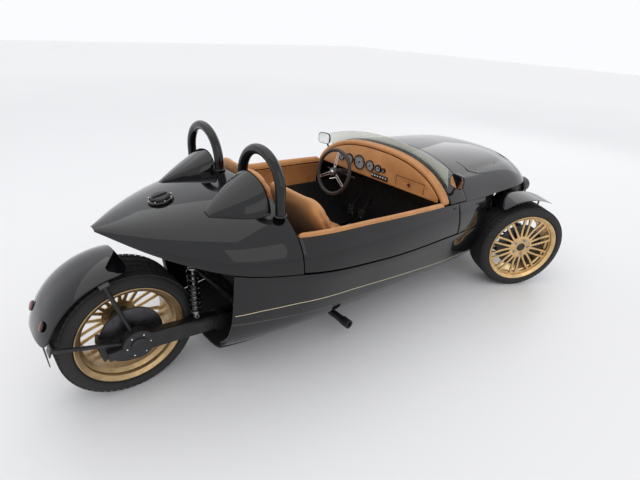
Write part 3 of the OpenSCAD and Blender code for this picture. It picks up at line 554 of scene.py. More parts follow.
def piece(name: str, mesh: bpy.types.Mesh, look: Look, body: str = "body", stands_for: Sequence[str] = (),
          edge: float = 0.0, angle: float = 35.0) -> bpy.types.Object:
    """Makes a piece of the roadster that rides on a body.

    Args:
        name: The piece's name.
        mesh: Its mesh, in place.
        look: Its finish.
        body: The CAD body that carries it.
        stands_for: CAD nodes that it replaces.
        edge: Radius of its edges, in metres.
        angle: Angle from which an edge is sharp, in degrees.

    Returns:
        The object.
    """
    obj = bpy.data.objects.new(name, mesh)
    bpy.context.scene.collection.objects.link(obj)
    mesh.materials.clear()
    mesh.materials.append(look.material())
    if edge:
        bevel = obj.modifiers.new("edge", "BEVEL")
        bevel.width, bevel.segments, bevel.limit_method = edge, 2, "ANGLE"
        bevel.angle_limit = math.radians(angle)
        baked(obj)
    obj.data.shade_smooth()
    obj.data.set_sharp_from_angle(angle=math.radians(angle))
    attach(obj, body)
    if stands_for:
        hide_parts(*stands_for)
    LOG.info("%s: %d faces on %s", name, len(obj.data.polygons), body)
    return obj


def refined(node: str, look: Look, body: str = "body", edge: float = 0.0015, angle: float = 32.0) -> bpy.types.Object:
    """Stands in for a CAD node with its own shape, its edges rounded and its curves smooth.

    Args:
        node: The CAD node.
        look: Its finish.
        body: The CAD body that carries it.
        edge: Radius of its edges, in metres.
        angle: Angle from which an edge counts as one.

    Returns:
        The object.
    """
    mesh = tidy(frame["nodes"][node].data.copy(), flat=True)
    return piece(node + "_part", mesh, look, body, (node,), edge=edge, angle=angle)


class RingArray:
    """Geometry Nodes that turn copies of a shape about the Y axis."""

    def __init__(self) -> None:
        """Builds the tree with inputs Count and Material."""
        self.tree = bpy.data.node_groups.new("ring_array", "GeometryNodeTree")
        face = self.tree.interface
        face.new_socket("Geometry", in_out="INPUT", socket_type="NodeSocketGeometry")
        self.count = face.new_socket("Count", in_out="INPUT", socket_type="NodeSocketInt").identifier
        self.finish = face.new_socket("Material", in_out="INPUT", socket_type="NodeSocketMaterial").identifier
        face.new_socket("Geometry", in_out="OUTPUT", socket_type="NodeSocketGeometry")
        add, link = self.tree.nodes.new, self.tree.links.new
        start, end = add("NodeGroupInput"), add("NodeGroupOutput")
        line, inst = add("GeometryNodeMeshLine"), add("GeometryNodeInstanceOnPoints")
        turn = add("ShaderNodeCombineXYZ")
        index, step, angle = add("GeometryNodeInputIndex"), add("ShaderNodeMath"), add("ShaderNodeMath")
        real, paint = add("GeometryNodeRealizeInstances"), add("GeometryNodeSetMaterial")
        line.inputs["Offset"].default_value = (0, 0, 0)
        step.operation, angle.operation = "DIVIDE", "MULTIPLY"
        step.inputs[0].default_value = 2 * math.pi
        link(start.outputs["Count"], line.inputs["Count"])
        link(start.outputs["Count"], step.inputs[1])
        link(step.outputs[0], angle.inputs[0])
        link(index.outputs[0], angle.inputs[1])
        link(angle.outputs[0], turn.inputs["Y"])
        link(line.outputs["Mesh"], inst.inputs["Points"])
        link(start.outputs["Geometry"], inst.inputs["Instance"])
        link(turn.outputs["Vector"], inst.inputs["Rotation"])
        link(inst.outputs["Instances"], real.inputs["Geometry"])
        link(real.outputs["Geometry"], paint.inputs["Geometry"])
        link(start.outputs["Material"], paint.inputs["Material"])
        link(paint.outputs["Geometry"], end.inputs["Geometry"])

    def turned(self, shape: Shape, count: int, look: Look, place: Matrix) -> Shape:
        """Copies a shape round the axis.

        Args:
            shape: What is repeated, about the origin.
            count: How many.
            look: Its finish.
            place: Moves the ring to its place.

        Returns:
            The ring.
        """
        obj = bpy.data.objects.new("ring", shape.mesh("ring"))
        bpy.context.scene.collection.objects.link(obj)
        mod = obj.modifiers.new("ring", "NODES")
        mod.node_group = self.tree
        mod[self.count], mod[self.finish] = count, look.material()
        baked(obj)
        out = Shape().add([place @ v.co for v in obj.data.vertices], [p.vertices for p in obj.data.polygons])
        bpy.data.objects.remove(obj)
        return out


class StitchRun:
    """Geometry Nodes that lay stitches along a path."""

    def __init__(self) -> None:
        """Builds the tree with inputs Pitch, Length, Thread and Material."""
        self.tree = bpy.data.node_groups.new("stitch_run", "GeometryNodeTree")
        face = self.tree.interface
        face.new_socket("Geometry", in_out="INPUT", socket_type="NodeSocketGeometry")
        self.ids = {n: face.new_socket(n, in_out="INPUT", socket_type=t).identifier
                    for n, t in (("Pitch", "NodeSocketFloat"), ("Length", "NodeSocketFloat"),
                                 ("Thread", "NodeSocketFloat"), ("Material", "NodeSocketMaterial"))}
        face.new_socket("Geometry", in_out="OUTPUT", socket_type="NodeSocketGeometry")
        add, link = self.tree.nodes.new, self.tree.links.new
        start, end = add("NodeGroupInput"), add("NodeGroupOutput")
        curve, points = add("GeometryNodeMeshToCurve"), add("GeometryNodeCurveToPoints")
        inst, rod = add("GeometryNodeInstanceOnPoints"), add("GeometryNodeMeshCylinder")
        real, paint = add("GeometryNodeRealizeInstances"), add("GeometryNodeSetMaterial")
        points.mode = "LENGTH"
        rod.inputs["Vertices"].default_value = 6
        link(start.outputs["Geometry"], curve.inputs["Mesh"])
        link(curve.outputs["Curve"], points.inputs["Curve"])
        link(start.outputs["Pitch"], points.inputs["Length"])
        link(start.outputs["Thread"], rod.inputs["Radius"])
        link(start.outputs["Length"], rod.inputs["Depth"])
        link(points.outputs["Points"], inst.inputs["Points"])
        link(points.outputs["Rotation"], inst.inputs["Rotation"])
        link(rod.outputs["Mesh"], inst.inputs["Instance"])
        link(inst.outputs["Instances"], real.inputs["Geometry"])
        link(real.outputs["Geometry"], paint.inputs["Geometry"])
        link(start.outputs["Material"], paint.inputs["Material"])
        link(paint.outputs["Geometry"], end.inputs["Geometry"])

    def along(self, name: str, paths: Sequence[Sequence[Sequence[float]]], body: str, look: Look = Look.STITCH,
              pitch: float = 0.009, length: float = 0.006, thread: float = 0.0007) -> bpy.types.Object:
        """Sews along some paths.

        Args:
            name: The piece's name.
            paths: Open runs of points.
            body: The CAD body that carries it.
            look: The thread's finish.
            pitch: From one stitch to the next.
            length: Length of a stitch.
            thread: Radius of the thread.

        Returns:
            The piece.
        """
        verts, edges = [], []
        for path in paths:
            edges += [(len(verts) + i, len(verts) + i + 1) for i in range(len(path) - 1)]
            verts += [tuple(map(float, p)) for p in path]
        mesh = bpy.data.meshes.new(name)
        mesh.from_pydata(verts, edges, [])
        obj = bpy.data.objects.new(name, mesh)
        bpy.context.scene.collection.objects.link(obj)
        mod = obj.modifiers.new("stitches", "NODES")
        mod.node_group = self.tree
        for key, value in (("Pitch", pitch), ("Length", length), ("Thread", thread), ("Material", look.material())):
            mod[self.ids[key]] = value
        baked(obj)
        made = obj.data
        bpy.data.objects.remove(obj)
        return piece(name, made, look, body)


RING = RingArray()
STITCHES = StitchRun()


# ---- Body ----


@dataclass
class BodyForm:
    """The body's outer surface, by the same rule as the CAD: stations along it and a superellipse at each."""

    stations: tuple[float, ...] = (-50, 100, 300, 700, 1200, 1850, 2400, 2850, 3120, 3310)
    half: tuple[float, ...] = (0.046, 0.366, 0.672, 0.916, 0.985, 1, 0.992, 1.015, 1, 0.977)
    seam: tuple[float, ...] = (745, 680, 615, 540, 470, 425, 400, 400, 405, 410)
    top: tuple[float, ...] = (755, 785, 820, 870, 880, 880, 845, 800, 770, 745)
    tuck: tuple[float, ...] = (0, 0.08, 0.15, 0.18, 0.17, 0.11, 0.09, 0.09, 0.09, 0.09)
    nose_start: float = 2720.0
    nose_end: float = 3310.0
    belly: float = 120.0
    known: dict[tuple[int, float], float] = field(default_factory=dict)

    def curve(self, which: int, x: float) -> float:
        """Smooth value of one row of the table at station x."""
        key = (which, x)
        if key not in self.known:
            xs, ys = self.stations, (self.half, self.seam, self.top, self.tuck)[which]
            last = len(xs) - 1

            def slope(i: int) -> float:
                """Slope of the row at station i."""
                if i in (0, last):
                    j = max(1, i)
                    return (ys[j] - ys[j - 1]) / (xs[j] - xs[j - 1])
                h0, h1 = xs[i] - xs[i - 1], xs[i + 1] - xs[i]
                return ((ys[i] - ys[i - 1]) / h0 * h1 + (ys[i + 1] - ys[i]) / h1 * h0) / (h0 + h1)

            i = max(0, min(last - 1, sum(x >= s for s in xs[1:])))
            h = xs[i + 1] - xs[i]
            t = (x - xs[i]) / h
            self.known[key] = ((2 * t**3 - 3 * t * t + 1) * ys[i] + (t**3 - 2 * t * t + t) * h * slope(i)
                               + (3 * t * t - 2 * t**3) * ys[i + 1] + (t**3 - t * t) * h * slope(i + 1))
        return self.known[key]

    def round(self, x: float, n: float) -> float:
        """How much the nose has closed in by station x."""
        t = max(0.0, min(1.0, (x - self.nose_start) / (self.nose_end - self.nose_start)))
        return (1 - t**2.5) ** (1 / n)

    def half_w(self, x: float) -> float:
        """Half width at the seam."""
        return 655 * self.curve(0, x) * self.round(x, 2)

    def seam_z(self, x: float) -> float:
        """Height of the seam."""
        return self.belly + self.curve(1, x)

    def rise(self, x: float) -> float:
        """Height of the upper skin above the seam."""
        return (self.curve(2, x) - self.curve(1, x)) * self.round(x, 2.4)

    def drop(self, x: float) -> float:
        """Depth of the lower skin below the seam."""
        lift = 60 * (1 - self.round(x, 1)) if x > self.nose_start else 0
        return (self.curve(1, x) - lift) * self.round(x, 2.6)

    def skin(self, x: float, a: float) -> np.ndarray:
        """Point of the skin in mm, from the rear axle.

        Args:
            x: Station.
            a: Angle: 0 right seam, 90 top, 180 left seam, -90 keel.

        Returns:
            The point.
        """
        c, s = math.cos(math.radians(a)), math.sin(math.radians(a))
        n = 2.4 if s >= 0 else 4.0
        k, v = power(c, 2 / n), power(s, 2 / n)
        w = self.half_w(x) * (1 if s >= 0 else 1 + self.curve(3, x) * v)
        return np.array([x, -k * w, self.seam_z(x) + v * (self.rise(x) if s >= 0 else self.drop(x))])

    def inset(self, x: float, a: float, depth: float) -> np.ndarray:
        """Point at a depth under the skin, in metres and in place."""
        du, dv = self.skin(x + 1, a) - self.skin(x - 1, a), self.skin(x, a + 0.4) - self.skin(x, a - 0.4)
        n = np.cross(du, dv)
        p = self.skin(x, a) - depth * n / np.linalg.norm(n)
        return placed(*p)

    def angle_at(self, x: float, z: float) -> float:
        """Angle on the right at which the upper skin reaches height z."""
        f = min(1.0, max(0.0, (z - self.seam_z(x)) / self.rise(x)))
        return math.degrees(math.asin(f**1.2))

    def low_angle(self, x: float, z: float) -> float:
        """Angle on the right at which the lower skin reaches height z."""
        f = min(1.0, max(0.0, (self.seam_z(x) - z) / self.drop(x)))
        return -math.degrees(math.asin(f**2))

    def top_at(self, x: float, y: float) -> float:
        """Height of the upper skin over a point, in mm."""
        f = max(0.0, 1 - (abs(y) / self.half_w(x)) ** 2.4)
        return self.seam_z(x) + self.rise(x) * f ** (1 / 2.4)

    def shoulder(self, x: float) -> float:
        """Height of the doors' top edge, carried on to the nose."""
        return float(np.interp(x, (684, 1950, 2300, 2965), (832, 742, 712, 705)))


FORM = BodyForm()
Edge = Callable[[float], float]


@dataclass
class Panels:
    """The painted panels, doors and their lines."""

    skin_t: float = 5.0
    door_t: float = 42.0
    wall_t: float = 34.0
    gap: float = 0.8
    door_gap: float = 6.0
    cowl_x: float = 1868.0
    hood_x: float = 2045.0
    door_end: float = 1950.0
    lining_end: float = 1790.0
    mats_end: float = 2052.0
    side_end: float = 2300.0
    cockpit_x: float = 684.0
    nose_back: float = 2965.0
    lip: float = 0.0022

    def sheet(self, xs: Iterable[float], lo: Edge, hi: Edge, cols: int, depth: float, start: float = 0.0,
              step: Optional[Callable[[float, float], float]] = None) -> Shape:
        """A panel of the body's skin.

        Args:
            xs: Stations.
            lo: Lower edge's angle at a station.
            hi: Upper edge's angle at a station.
            cols: Steps between the edges.
            depth: Thickness in mm.
            start: Depth of its outside under the skin.
            step: Extra depth of the outside at a station and angle.

        Returns:
            The panel.
        """
        outer, inner = [], []
        for x in map(float, xs):
            angles = [lo(x) + (hi(x) - lo(x)) * j / cols for j in range(cols + 1)]
            outer.append([FORM.inset(x, a, start + (step(x, a) if step else 0.0)) for a in angles])
            inner.append([FORM.inset(x, a, start + depth) for a in angles])
        return Shape().grids(outer, inner)

    def above(self, gap: float) -> Edge:
        """Edge that runs a gap above the seam."""
        return lambda x: FORM.angle_at(x, FORM.seam_z(x) + gap)

    def at_shoulder(self, gap: float) -> Edge:
        """Edge that runs a gap above the shoulder line."""
        return lambda x: FORM.angle_at(x, FORM.shoulder(x) + gap)

    def flipped(self, edge: Edge) -> Edge:
        """The same edge on the left side."""
        return lambda x: 180 - edge(x)

    def sill_step(self, x: float, a: float) -> float:
        """Depth of the shadow step low on the side."""
        z = FORM.skin(x, a)[2]
        line = float(np.interp(x, (372, 520, 720, 1100, 1500, 2300), (398, 392, 367, 330, 290, 215)))
        t = min(1.0, max(0.0, (line + 5 - z) / 10))
        return 9.0 * t * t * (3 - 2 * t)

    def build(self) -> None:
        """Builds every panel."""
        space = np.linspace
        lam, sil = self.above(self.gap), self.at_shoulder(self.gap)
        piece("floor_skin", self.sheet(space(372, self.side_end, 40), lambda x: -122, lambda x: -58, 40,
                                       12).mesh("floor"),
              Look.CARPET, stands_for=("floor_pan",), edge=0.001)
        side = self.sheet(space(372, self.side_end, 90), lambda x: -57.6, lambda x: -0.01, 70, self.wall_t,
                          step=self.sill_step)
        mats = self.sheet(space(700, self.mats_end, 64), lambda x: -56.5, self.above(13), 34, 2, self.door_t + 1)
        piece("side_mats", mats.mirrored().mesh("mats"), Look.CARPET, angle=50)
        piece("side_skins", side.mirrored().mesh("sides"), Look.PAINT, stands_for=("side_panels",),
              edge=self.lip, angle=50)
        tail = self.sheet(np.concatenate([space(-50, 60, 16), space(75, self.cockpit_x, 44)]), lam,
                          self.flipped(lam), 90, self.skin_t)
        piece("tail_skin", tail.mesh("tail"), Look.PAINT, stands_for=("tail_deck",), edge=0.0018,
              angle=50)
        gap6 = self.at_shoulder(self.door_gap)
        piece("cowl_skin", self.sheet(space(self.cowl_x, self.hood_x - self.gap, 14), gap6, self.flipped(gap6), 90,
                                      self.skin_t).mesh("cowl"),
              Look.PAINT, stands_for=("cowl",), edge=0.0018, angle=50)
        quarter = self.sheet(space(self.door_end + self.door_gap, self.side_end, 20), lam, self.at_shoulder(0), 20,
                             self.skin_t)
        quarter.mirrored()
        piece("quarter_skins", quarter.mesh("quarters"), Look.PAINT, stands_for=("front_quarter_panels",),
              edge=0.0014, angle=50)
        hood = self.sheet(space(self.hood_x, self.nose_back, 40), sil, self.flipped(sil), 90, self.skin_t,
                          step=self.hood_crease)
        piece("hood_skin", hood.mesh("hood"), Look.PAINT, stands_for=("hood",), edge=0.0018,
              angle=50)
        self.nose()
        self.doors()
        self.fairings()
        self.stripe()
        self.bonnet_lines()
        self.seals()
        self.bay_liners()

    def seals(self) -> None:
        """Lays the rubber seal behind each door's lower gap."""
        shape = Shape()
        for depth in (17, 27):
            shape.tube([FORM.inset(x, FORM.angle_at(x, FORM.seam_z(x) + 3), depth)
                        for x in np.linspace(self.cockpit_x + 8, self.door_end - 2, 60)], 0.0027, 8)
        piece("door_seals", shape.mirrored().mesh("seals"), Look.TYRE)

    def bay_liners(self) -> None:
        """Builds the dark inner walls beside the engine, below the hood."""
        outer, inner = [], []
        for x in np.linspace(self.side_end + 4, self.nose_back - 6, 24):
            up, low = [], []
            for t in np.linspace(0, 1, 14):
                y = 352.0 + 10 * math.sin(math.pi * t)
                top = FORM.top_at(x, y) - 12
                z = 300 + (top - 300) * t
                up.append(placed(x, -y, z))
                low.append(placed(x, -y + 3, z))
            outer.append(up)
            inner.append(low)
        piece("bay_liners", Shape().grids(outer, inner).mirrored().mesh("liners"), Look.PLASTIC)

    def hood_crease(self, x: float, a: float) -> float:
        """Depth of the soft crease along each side of the hood."""
        z = FORM.skin(x, a)[2]
        line = float(np.interp(x, (2045, 2500, 2965), (868, 866, 850)))
        fade = min(1.0, max(0.0, (x - 2090) / 200))
        return 5.0 * fade * math.exp(-(((z - line) / 15) ** 2))

    def nose(self) -> None:
        """Builds the nose shell with its two lamp openings."""
        lam = self.above(self.gap)
        back = self.nose_back + self.gap
        xs = [back + (3262 - back) * math.sin(math.pi / 2 * i / 30) for i in range(31)]
        upper = bpy.data.objects.new("shell", self.sheet(xs, lam, self.flipped(lam), 96,
                                                         self.skin_t).mesh("nose_upper"))
        cutter = Shape()
        for side in (-1, 1):
            place = spot(ORIGIN_X + self.nose_back / 1000, side * LAMP_Y, LAMP_Z, -90)
            cutter.lathe([(0, 0), (0.066, 0), (0.066, 0.4), (0, 0.4)], 72, place)
        tool = bpy.data.objects.new("lamp_cut", cutter.mesh("lamp_cut"))
        for obj in (upper, tool):
            bpy.context.scene.collection.objects.link(obj)
        cut = upper.modifiers.new("lamps", "BOOLEAN")
        cut.object, cut.operation, cut.solver = tool, "DIFFERENCE", "EXACT"
        shell = baked(upper).data
        for obj in (upper, tool):
            bpy.data.objects.remove(obj)
        piece("nose_upper", shell, Look.PAINT, stands_for=("nose_cowl",), angle=40)
        piece("nose_lower", self.sheet(xs, lambda x: -179.99, lambda x: -0.01, 110, self.skin_t).mesh("nose_lower"),
              Look.PAINT, edge=0.0016, angle=50)

    def doors(self) -> None:
        """Builds both doors with their linings, rails, latches and stitching."""
        lo, hi = self.above(self.door_gap), self.at_shoulder(0)
        for side, word in ((-1, "right"), (1, "left")):
            body = word + "_door"
            xs = np.linspace(self.cockpit_x + self.door_gap, self.door_end, 70)
            door = self.sheet(xs, lo, hi, 26, self.door_t - 5)
            lining = self.sheet(np.linspace(self.cockpit_x + 24, self.lining_end, 50), lambda x: lo(x) + 0.3,
                                lambda x: hi(x) - 1.0, 20, 4.6, self.door_t - 4.8, step=self.lining_fold)
            rail, seams = self.rail()
            latch = self.latch()
            for shape in (door, lining, rail, latch):
                if side > 0:
                    shape.verts = [(x, -y, z) for x, y, z in shape.verts]
            piece("door_shell_" + word, door.mesh("door"), Look.PAINT, body, ("door_" + word,), 0.002,
                  50)
            piece("door_lining_" + word, lining.mesh("lining"), Look.TAN, body, edge=0.0012,
                  angle=50)
            roll = piece("door_roll_" + word, rail.mesh("roll"), Look.TAN, body, ("door_rail_" + word,),
                         angle=60)
            piece("door_latch_" + word, latch.mesh("latch"), Look.FRAME, body, edge=0.0008)
            STITCHES.along("roll_seam_" + word, [[(p[0], -side * p[1], p[2]) for p in s] for s in seams], body)

    def lining_fold(self, x: float, a: float) -> float:
        """Depth of the sewn fold along a door's lining, which stands proud."""
        return -2.2 * math.exp(-(((FORM.skin(x, a)[2] - FORM.shoulder(x) + 95) / 9) ** 2))

    def rail(self) -> tuple[Shape, list[list[np.ndarray]]]:
        """The padded roll on the right door and its seam lines.

        Returns:
            The roll and the runs of points its stitches follow.
        """
        rings, seams = [], [[], []]
        xs = np.linspace(self.cockpit_x + 12, self.lining_end, 72)
        for i, x in enumerate(xs):
            a = FORM.angle_at(x, FORM.shoulder(x))
            p, q = FORM.inset(x, a, 0), FORM.inset(x, a, self.door_t)
            q[2] += 0.006
            mid, arm = (p + q) / 2 + [0, 0, 0.0004], (p - q) / 2
            end = min(1.0, 0.25 + min(i, len(xs) - 1 - i) / 2.2)
            size = math.sqrt(1 - (1 - min(1.0, end)) ** 2)
            ring = []
            for t in turns(36):
                up = math.sin(t)
                lift = 0.029 * abs(up) ** 0.8 * size if up > 0 else 0.0
                ring.append(mid + arm * power(math.cos(t), 0.9) * (0.9 + 0.1 * size) + np.array([0, 0, lift]))
            rings.append(ring)
            if 3 < i < len(xs) - 4:
                for s, t in ((0, 0.62), (1, math.pi - 0.62)):
                    seams[s].append(mid + arm * math.cos(t) + np.array([0, 0, 0.0292 * math.sin(t) ** 0.8 + 0.0007]))
        return Shape().loft(rings), seams

    def latch(self) -> Shape:
        """The small latch near the right door's front top corner."""
        x, a = 1908.0, FORM.angle_at(1908, FORM.shoulder(1908) - 26)
        p, q = FORM.inset(x - 22, a, -1.2), FORM.inset(x + 22, a, -1.2)
        return Shape().tube([p, p * 0.7 + q * 0.3 + [0, -0.004, 0.002], p * 0.3 + q * 0.7 + [0, -0.004, 0.002], q],
                            [0.003, 0.0048, 0.0048, 0.003], 14)

    def fairings(self) -> None:
        """Builds the two headrest fairings."""
        shape = Shape()
        outer, inner = [], []
        for i in range(33):
            t = i / 32
            x = 372 + (626 - 372) * t
            w, h = 24 + 122 * math.sin(math.pi / 2 * t) ** 1.1, 8 + 106 * t**0.95
            up, low = [], []
            for k in range(49):
                b = math.pi * k / 48
                c = power(math.cos(b), 0.8)
                y = -262 - w * c
                base = FORM.top_at(x, y)
                up.append(placed(x, y, base + 0.4 + h * math.sin(b) ** 0.86))
                low.append(placed(x, y, base + 0.3))
            outer.append(up)
            inner.append(low)
        shape.grids(outer, inner).mirrored()
        piece("fairing_skins", shape.mesh("fairings"), Look.PAINT, stands_for=("headrest_fairings",),
              edge=0.003, angle=44)

    def stripe(self) -> None:
        """Lays the cream line along each side."""
        outer, inner = [], []
        for x in np.linspace(384, 2290, 80):
            z = float(np.interp(x, (372, 500, 700, 1020, 1444, 1900, 2300), (465, 476, 468, 437, 384, 322, 284)))
            outer.append([FORM.inset(x, FORM.low_angle(x, z + d), -0.5) for d in (-2.2, 2.2)])
            inner.append([FORM.inset(x, FORM.low_angle(x, z + d), 0.4) for d in (-2.2, 2.2)])
        piece("side_stripes", Shape().grids(outer, inner).mirrored().mesh("stripes"), Look.STRIPE)

    def bonnet_lines(self) -> None:
        """Lays the dark joint lines on the hood."""
        shape = Shape()
        corners = ((2215, 385), (2245, 470), (2330, 500), (2470, 512))
        path = []
        for start, end in zip(corners, corners[1:]):
            for t in np.linspace(0, 1, 12, endpoint=False):
                x, y = (start[k] + (end[k] - start[k]) * t for k in (0, 1))
                path.append(placed(x, -y, FORM.top_at(x, y) + 0.1))
        shape.tube(path, 0.0018, 8)
        piece("hood_joint_lines", shape.mirrored().mesh("lines"), Look.PLASTIC)


@dataclass
class TailFittings:
    """Hoops, filler cap, tail lamps and what stands on the tail."""

    hoop_x: float = 652.0
    hoop_y: float = 285.0
    hoop_half: float = 163.0
    hoop_r: float = 0.025
    bend_z: float = 1034.0
    cap_x: float = 268.0

    def build(self) -> None:
        """Builds the pieces."""
        hoops, feet = Shape(), Shape()
        for side in (-1, 1):
            cx = ORIGIN_X + self.hoop_x / 1000
            ends = [(FORM.top_at(self.hoop_x + 25, self.hoop_y + s * self.hoop_half - 25) + 1.0) / 1000
                    for s in (-1, 1)]
            path = [(cx, side * (self.hoop_y - self.hoop_half) / 1000, z)
                    for z in np.linspace(ends[0], self.bend_z / 1000, 10, endpoint=False)]
            path += [(cx, side * (self.hoop_y - self.hoop_half * math.cos(t)) / 1000,
                      (self.bend_z + self.hoop_half * math.sin(t)) / 1000)
                     for t in np.linspace(0, math.pi, 60)]
            path += [(cx, side * (self.hoop_y + self.hoop_half) / 1000, z)
                     for z in np.linspace(self.bend_z / 1000, ends[1], 10)][1:]
            hoops.tube(path, self.hoop_r, 36)
            for s, z in zip((-1, 1), ends):
                turn = spot(cx, side * (self.hoop_y + s * self.hoop_half) / 1000, z + 0.001, 90, "X")
                feet.lathe([(0.0254, 0), (0.032, 0), (0.033, 0.002), (0.032, 0.006), (0.0254, 0.008)], 40, turn)
        piece("hoop_tubes", hoops.mesh("hoops"), Look.HOOP, stands_for=("roll_hoops",))
        piece("hoop_collars", feet.mesh("collars"), Look.FRAME, edge=0.0006)
        self.cap()
        self.lamps()

    def cap(self) -> None:
        """Builds the filler cap."""
        x = self.cap_x
        lean = math.atan((FORM.top_at(x + 60, 0) - FORM.top_at(x - 60, 0)) / 120)
        place = spot(*placed(x, 0, FORM.top_at(x, 0) + 0.9), math.degrees(-lean), "Y") @ Matrix.Rotation(math.pi / 2,
                4, "X")
        ring = Shape().lathe([(0.0, 0), (0.061, 0), (0.062, 0.003), (0.060, 0.011), (0.052, 0.0125), (0.050, 0.008),
                              (0, 0.008)], 72, place)
        lid = Shape().lathe([(0, 0.009), (0.045, 0.009), (0.046, 0.014), (0.044, 0.023), (0.040, 0.026),
                             (0.012, 0.0245), (0, 0.0245)], 72, place)
        lid.block((-0.036, 0.0245, -0.005), (0.036, 0.0325, 0.005), place)
        bolt = Shape().lathe([(0, 0.0125), (0.0034, 0.0125), (0.0034, 0.0155), (0.0026, 0.0162), (0, 0.0162)],
                             12).moved(Matrix.Translation((0.0565, 0, 0)))
        piece("cap_ring", ring.mesh("cap_ring"), Look.HOOP, stands_for=("fuel_cap",), edge=0.0006)
        piece("cap_lid", lid.mesh("cap_lid"), Look.PLASTIC, edge=0.001)
        piece("cap_screws", RING.turned(bolt, 8, Look.CHROME, place).mesh("cap_screws"), Look.CHROME)

    def lamps(self) -> None:
        """Builds the round tail lamps."""
        lens, rim = Shape(), Shape()
        for side in (-1, 1):
            y = side * 0.096
            r = fender_r(y) + FENDER_T
            place = spot(ORIGIN_X, y, REAR_HUB_Z, -150, "Y") @ spot(r + 0.003, 0, 0, -90)
            lens.lathe([(0, 0), (0.0205, 0), (0.0205, 0.0032), (0.017, 0.005), (0.009, 0.006), (0, 0.0062)], 48,
                       place)
            rim.lathe([(0.0205, -0.001), (0.024, -0.001), (0.0238, 0.003), (0.0225, 0.0045), (0.0205, 0.004)], 48,
                      place)
        piece("tail_lenses", lens.mesh("tail_lenses"), Look.RED, stands_for=("tail_lights",))
        piece("tail_lamp_rims", rim.mesh("tail_rims"), Look.HOOP)


# ---- Wheels ----


class Corner(Enum):
    """Where a wheel stands: its name, side and body, and whether it is in front."""

    FRONT_RIGHT = ("front_right", -1, "wheel_right")
    FRONT_LEFT = ("front_left", 1, "wheel_left")
    REAR = ("rear", 0, "wheel_rear")

    @property
    def word(self) -> str:
        """The name used for its pieces."""
        return self.value[0]

    @property
    def body(self) -> str:
        """The CAD body that carries it."""
        return self.value[2]

    @property
    def place(self) -> Matrix:
        """From axes with the wheel's outer face towards -Y to the vehicle's."""
        side = self.value[1]
        if side == 0:
            return spot(ORIGIN_X, 0, REAR_HUB_Z) @ Matrix.Scale(-1, 4, (0, 1, 0))
        flip = Matrix.Scale(-1, 4, (0, 1, 0)) if side > 0 else Matrix()
        return spot(ORIGIN_X + WHEELBASE, side * KINGPIN_Y, FRONT_HUB_Z, STEER_AT_REST) @ flip

    @property
    def node(self) -> str:
        """Ending of its CAD nodes."""
        return {"front_right": "_right", "front_left": "_left", "rear": ""}[self.word]


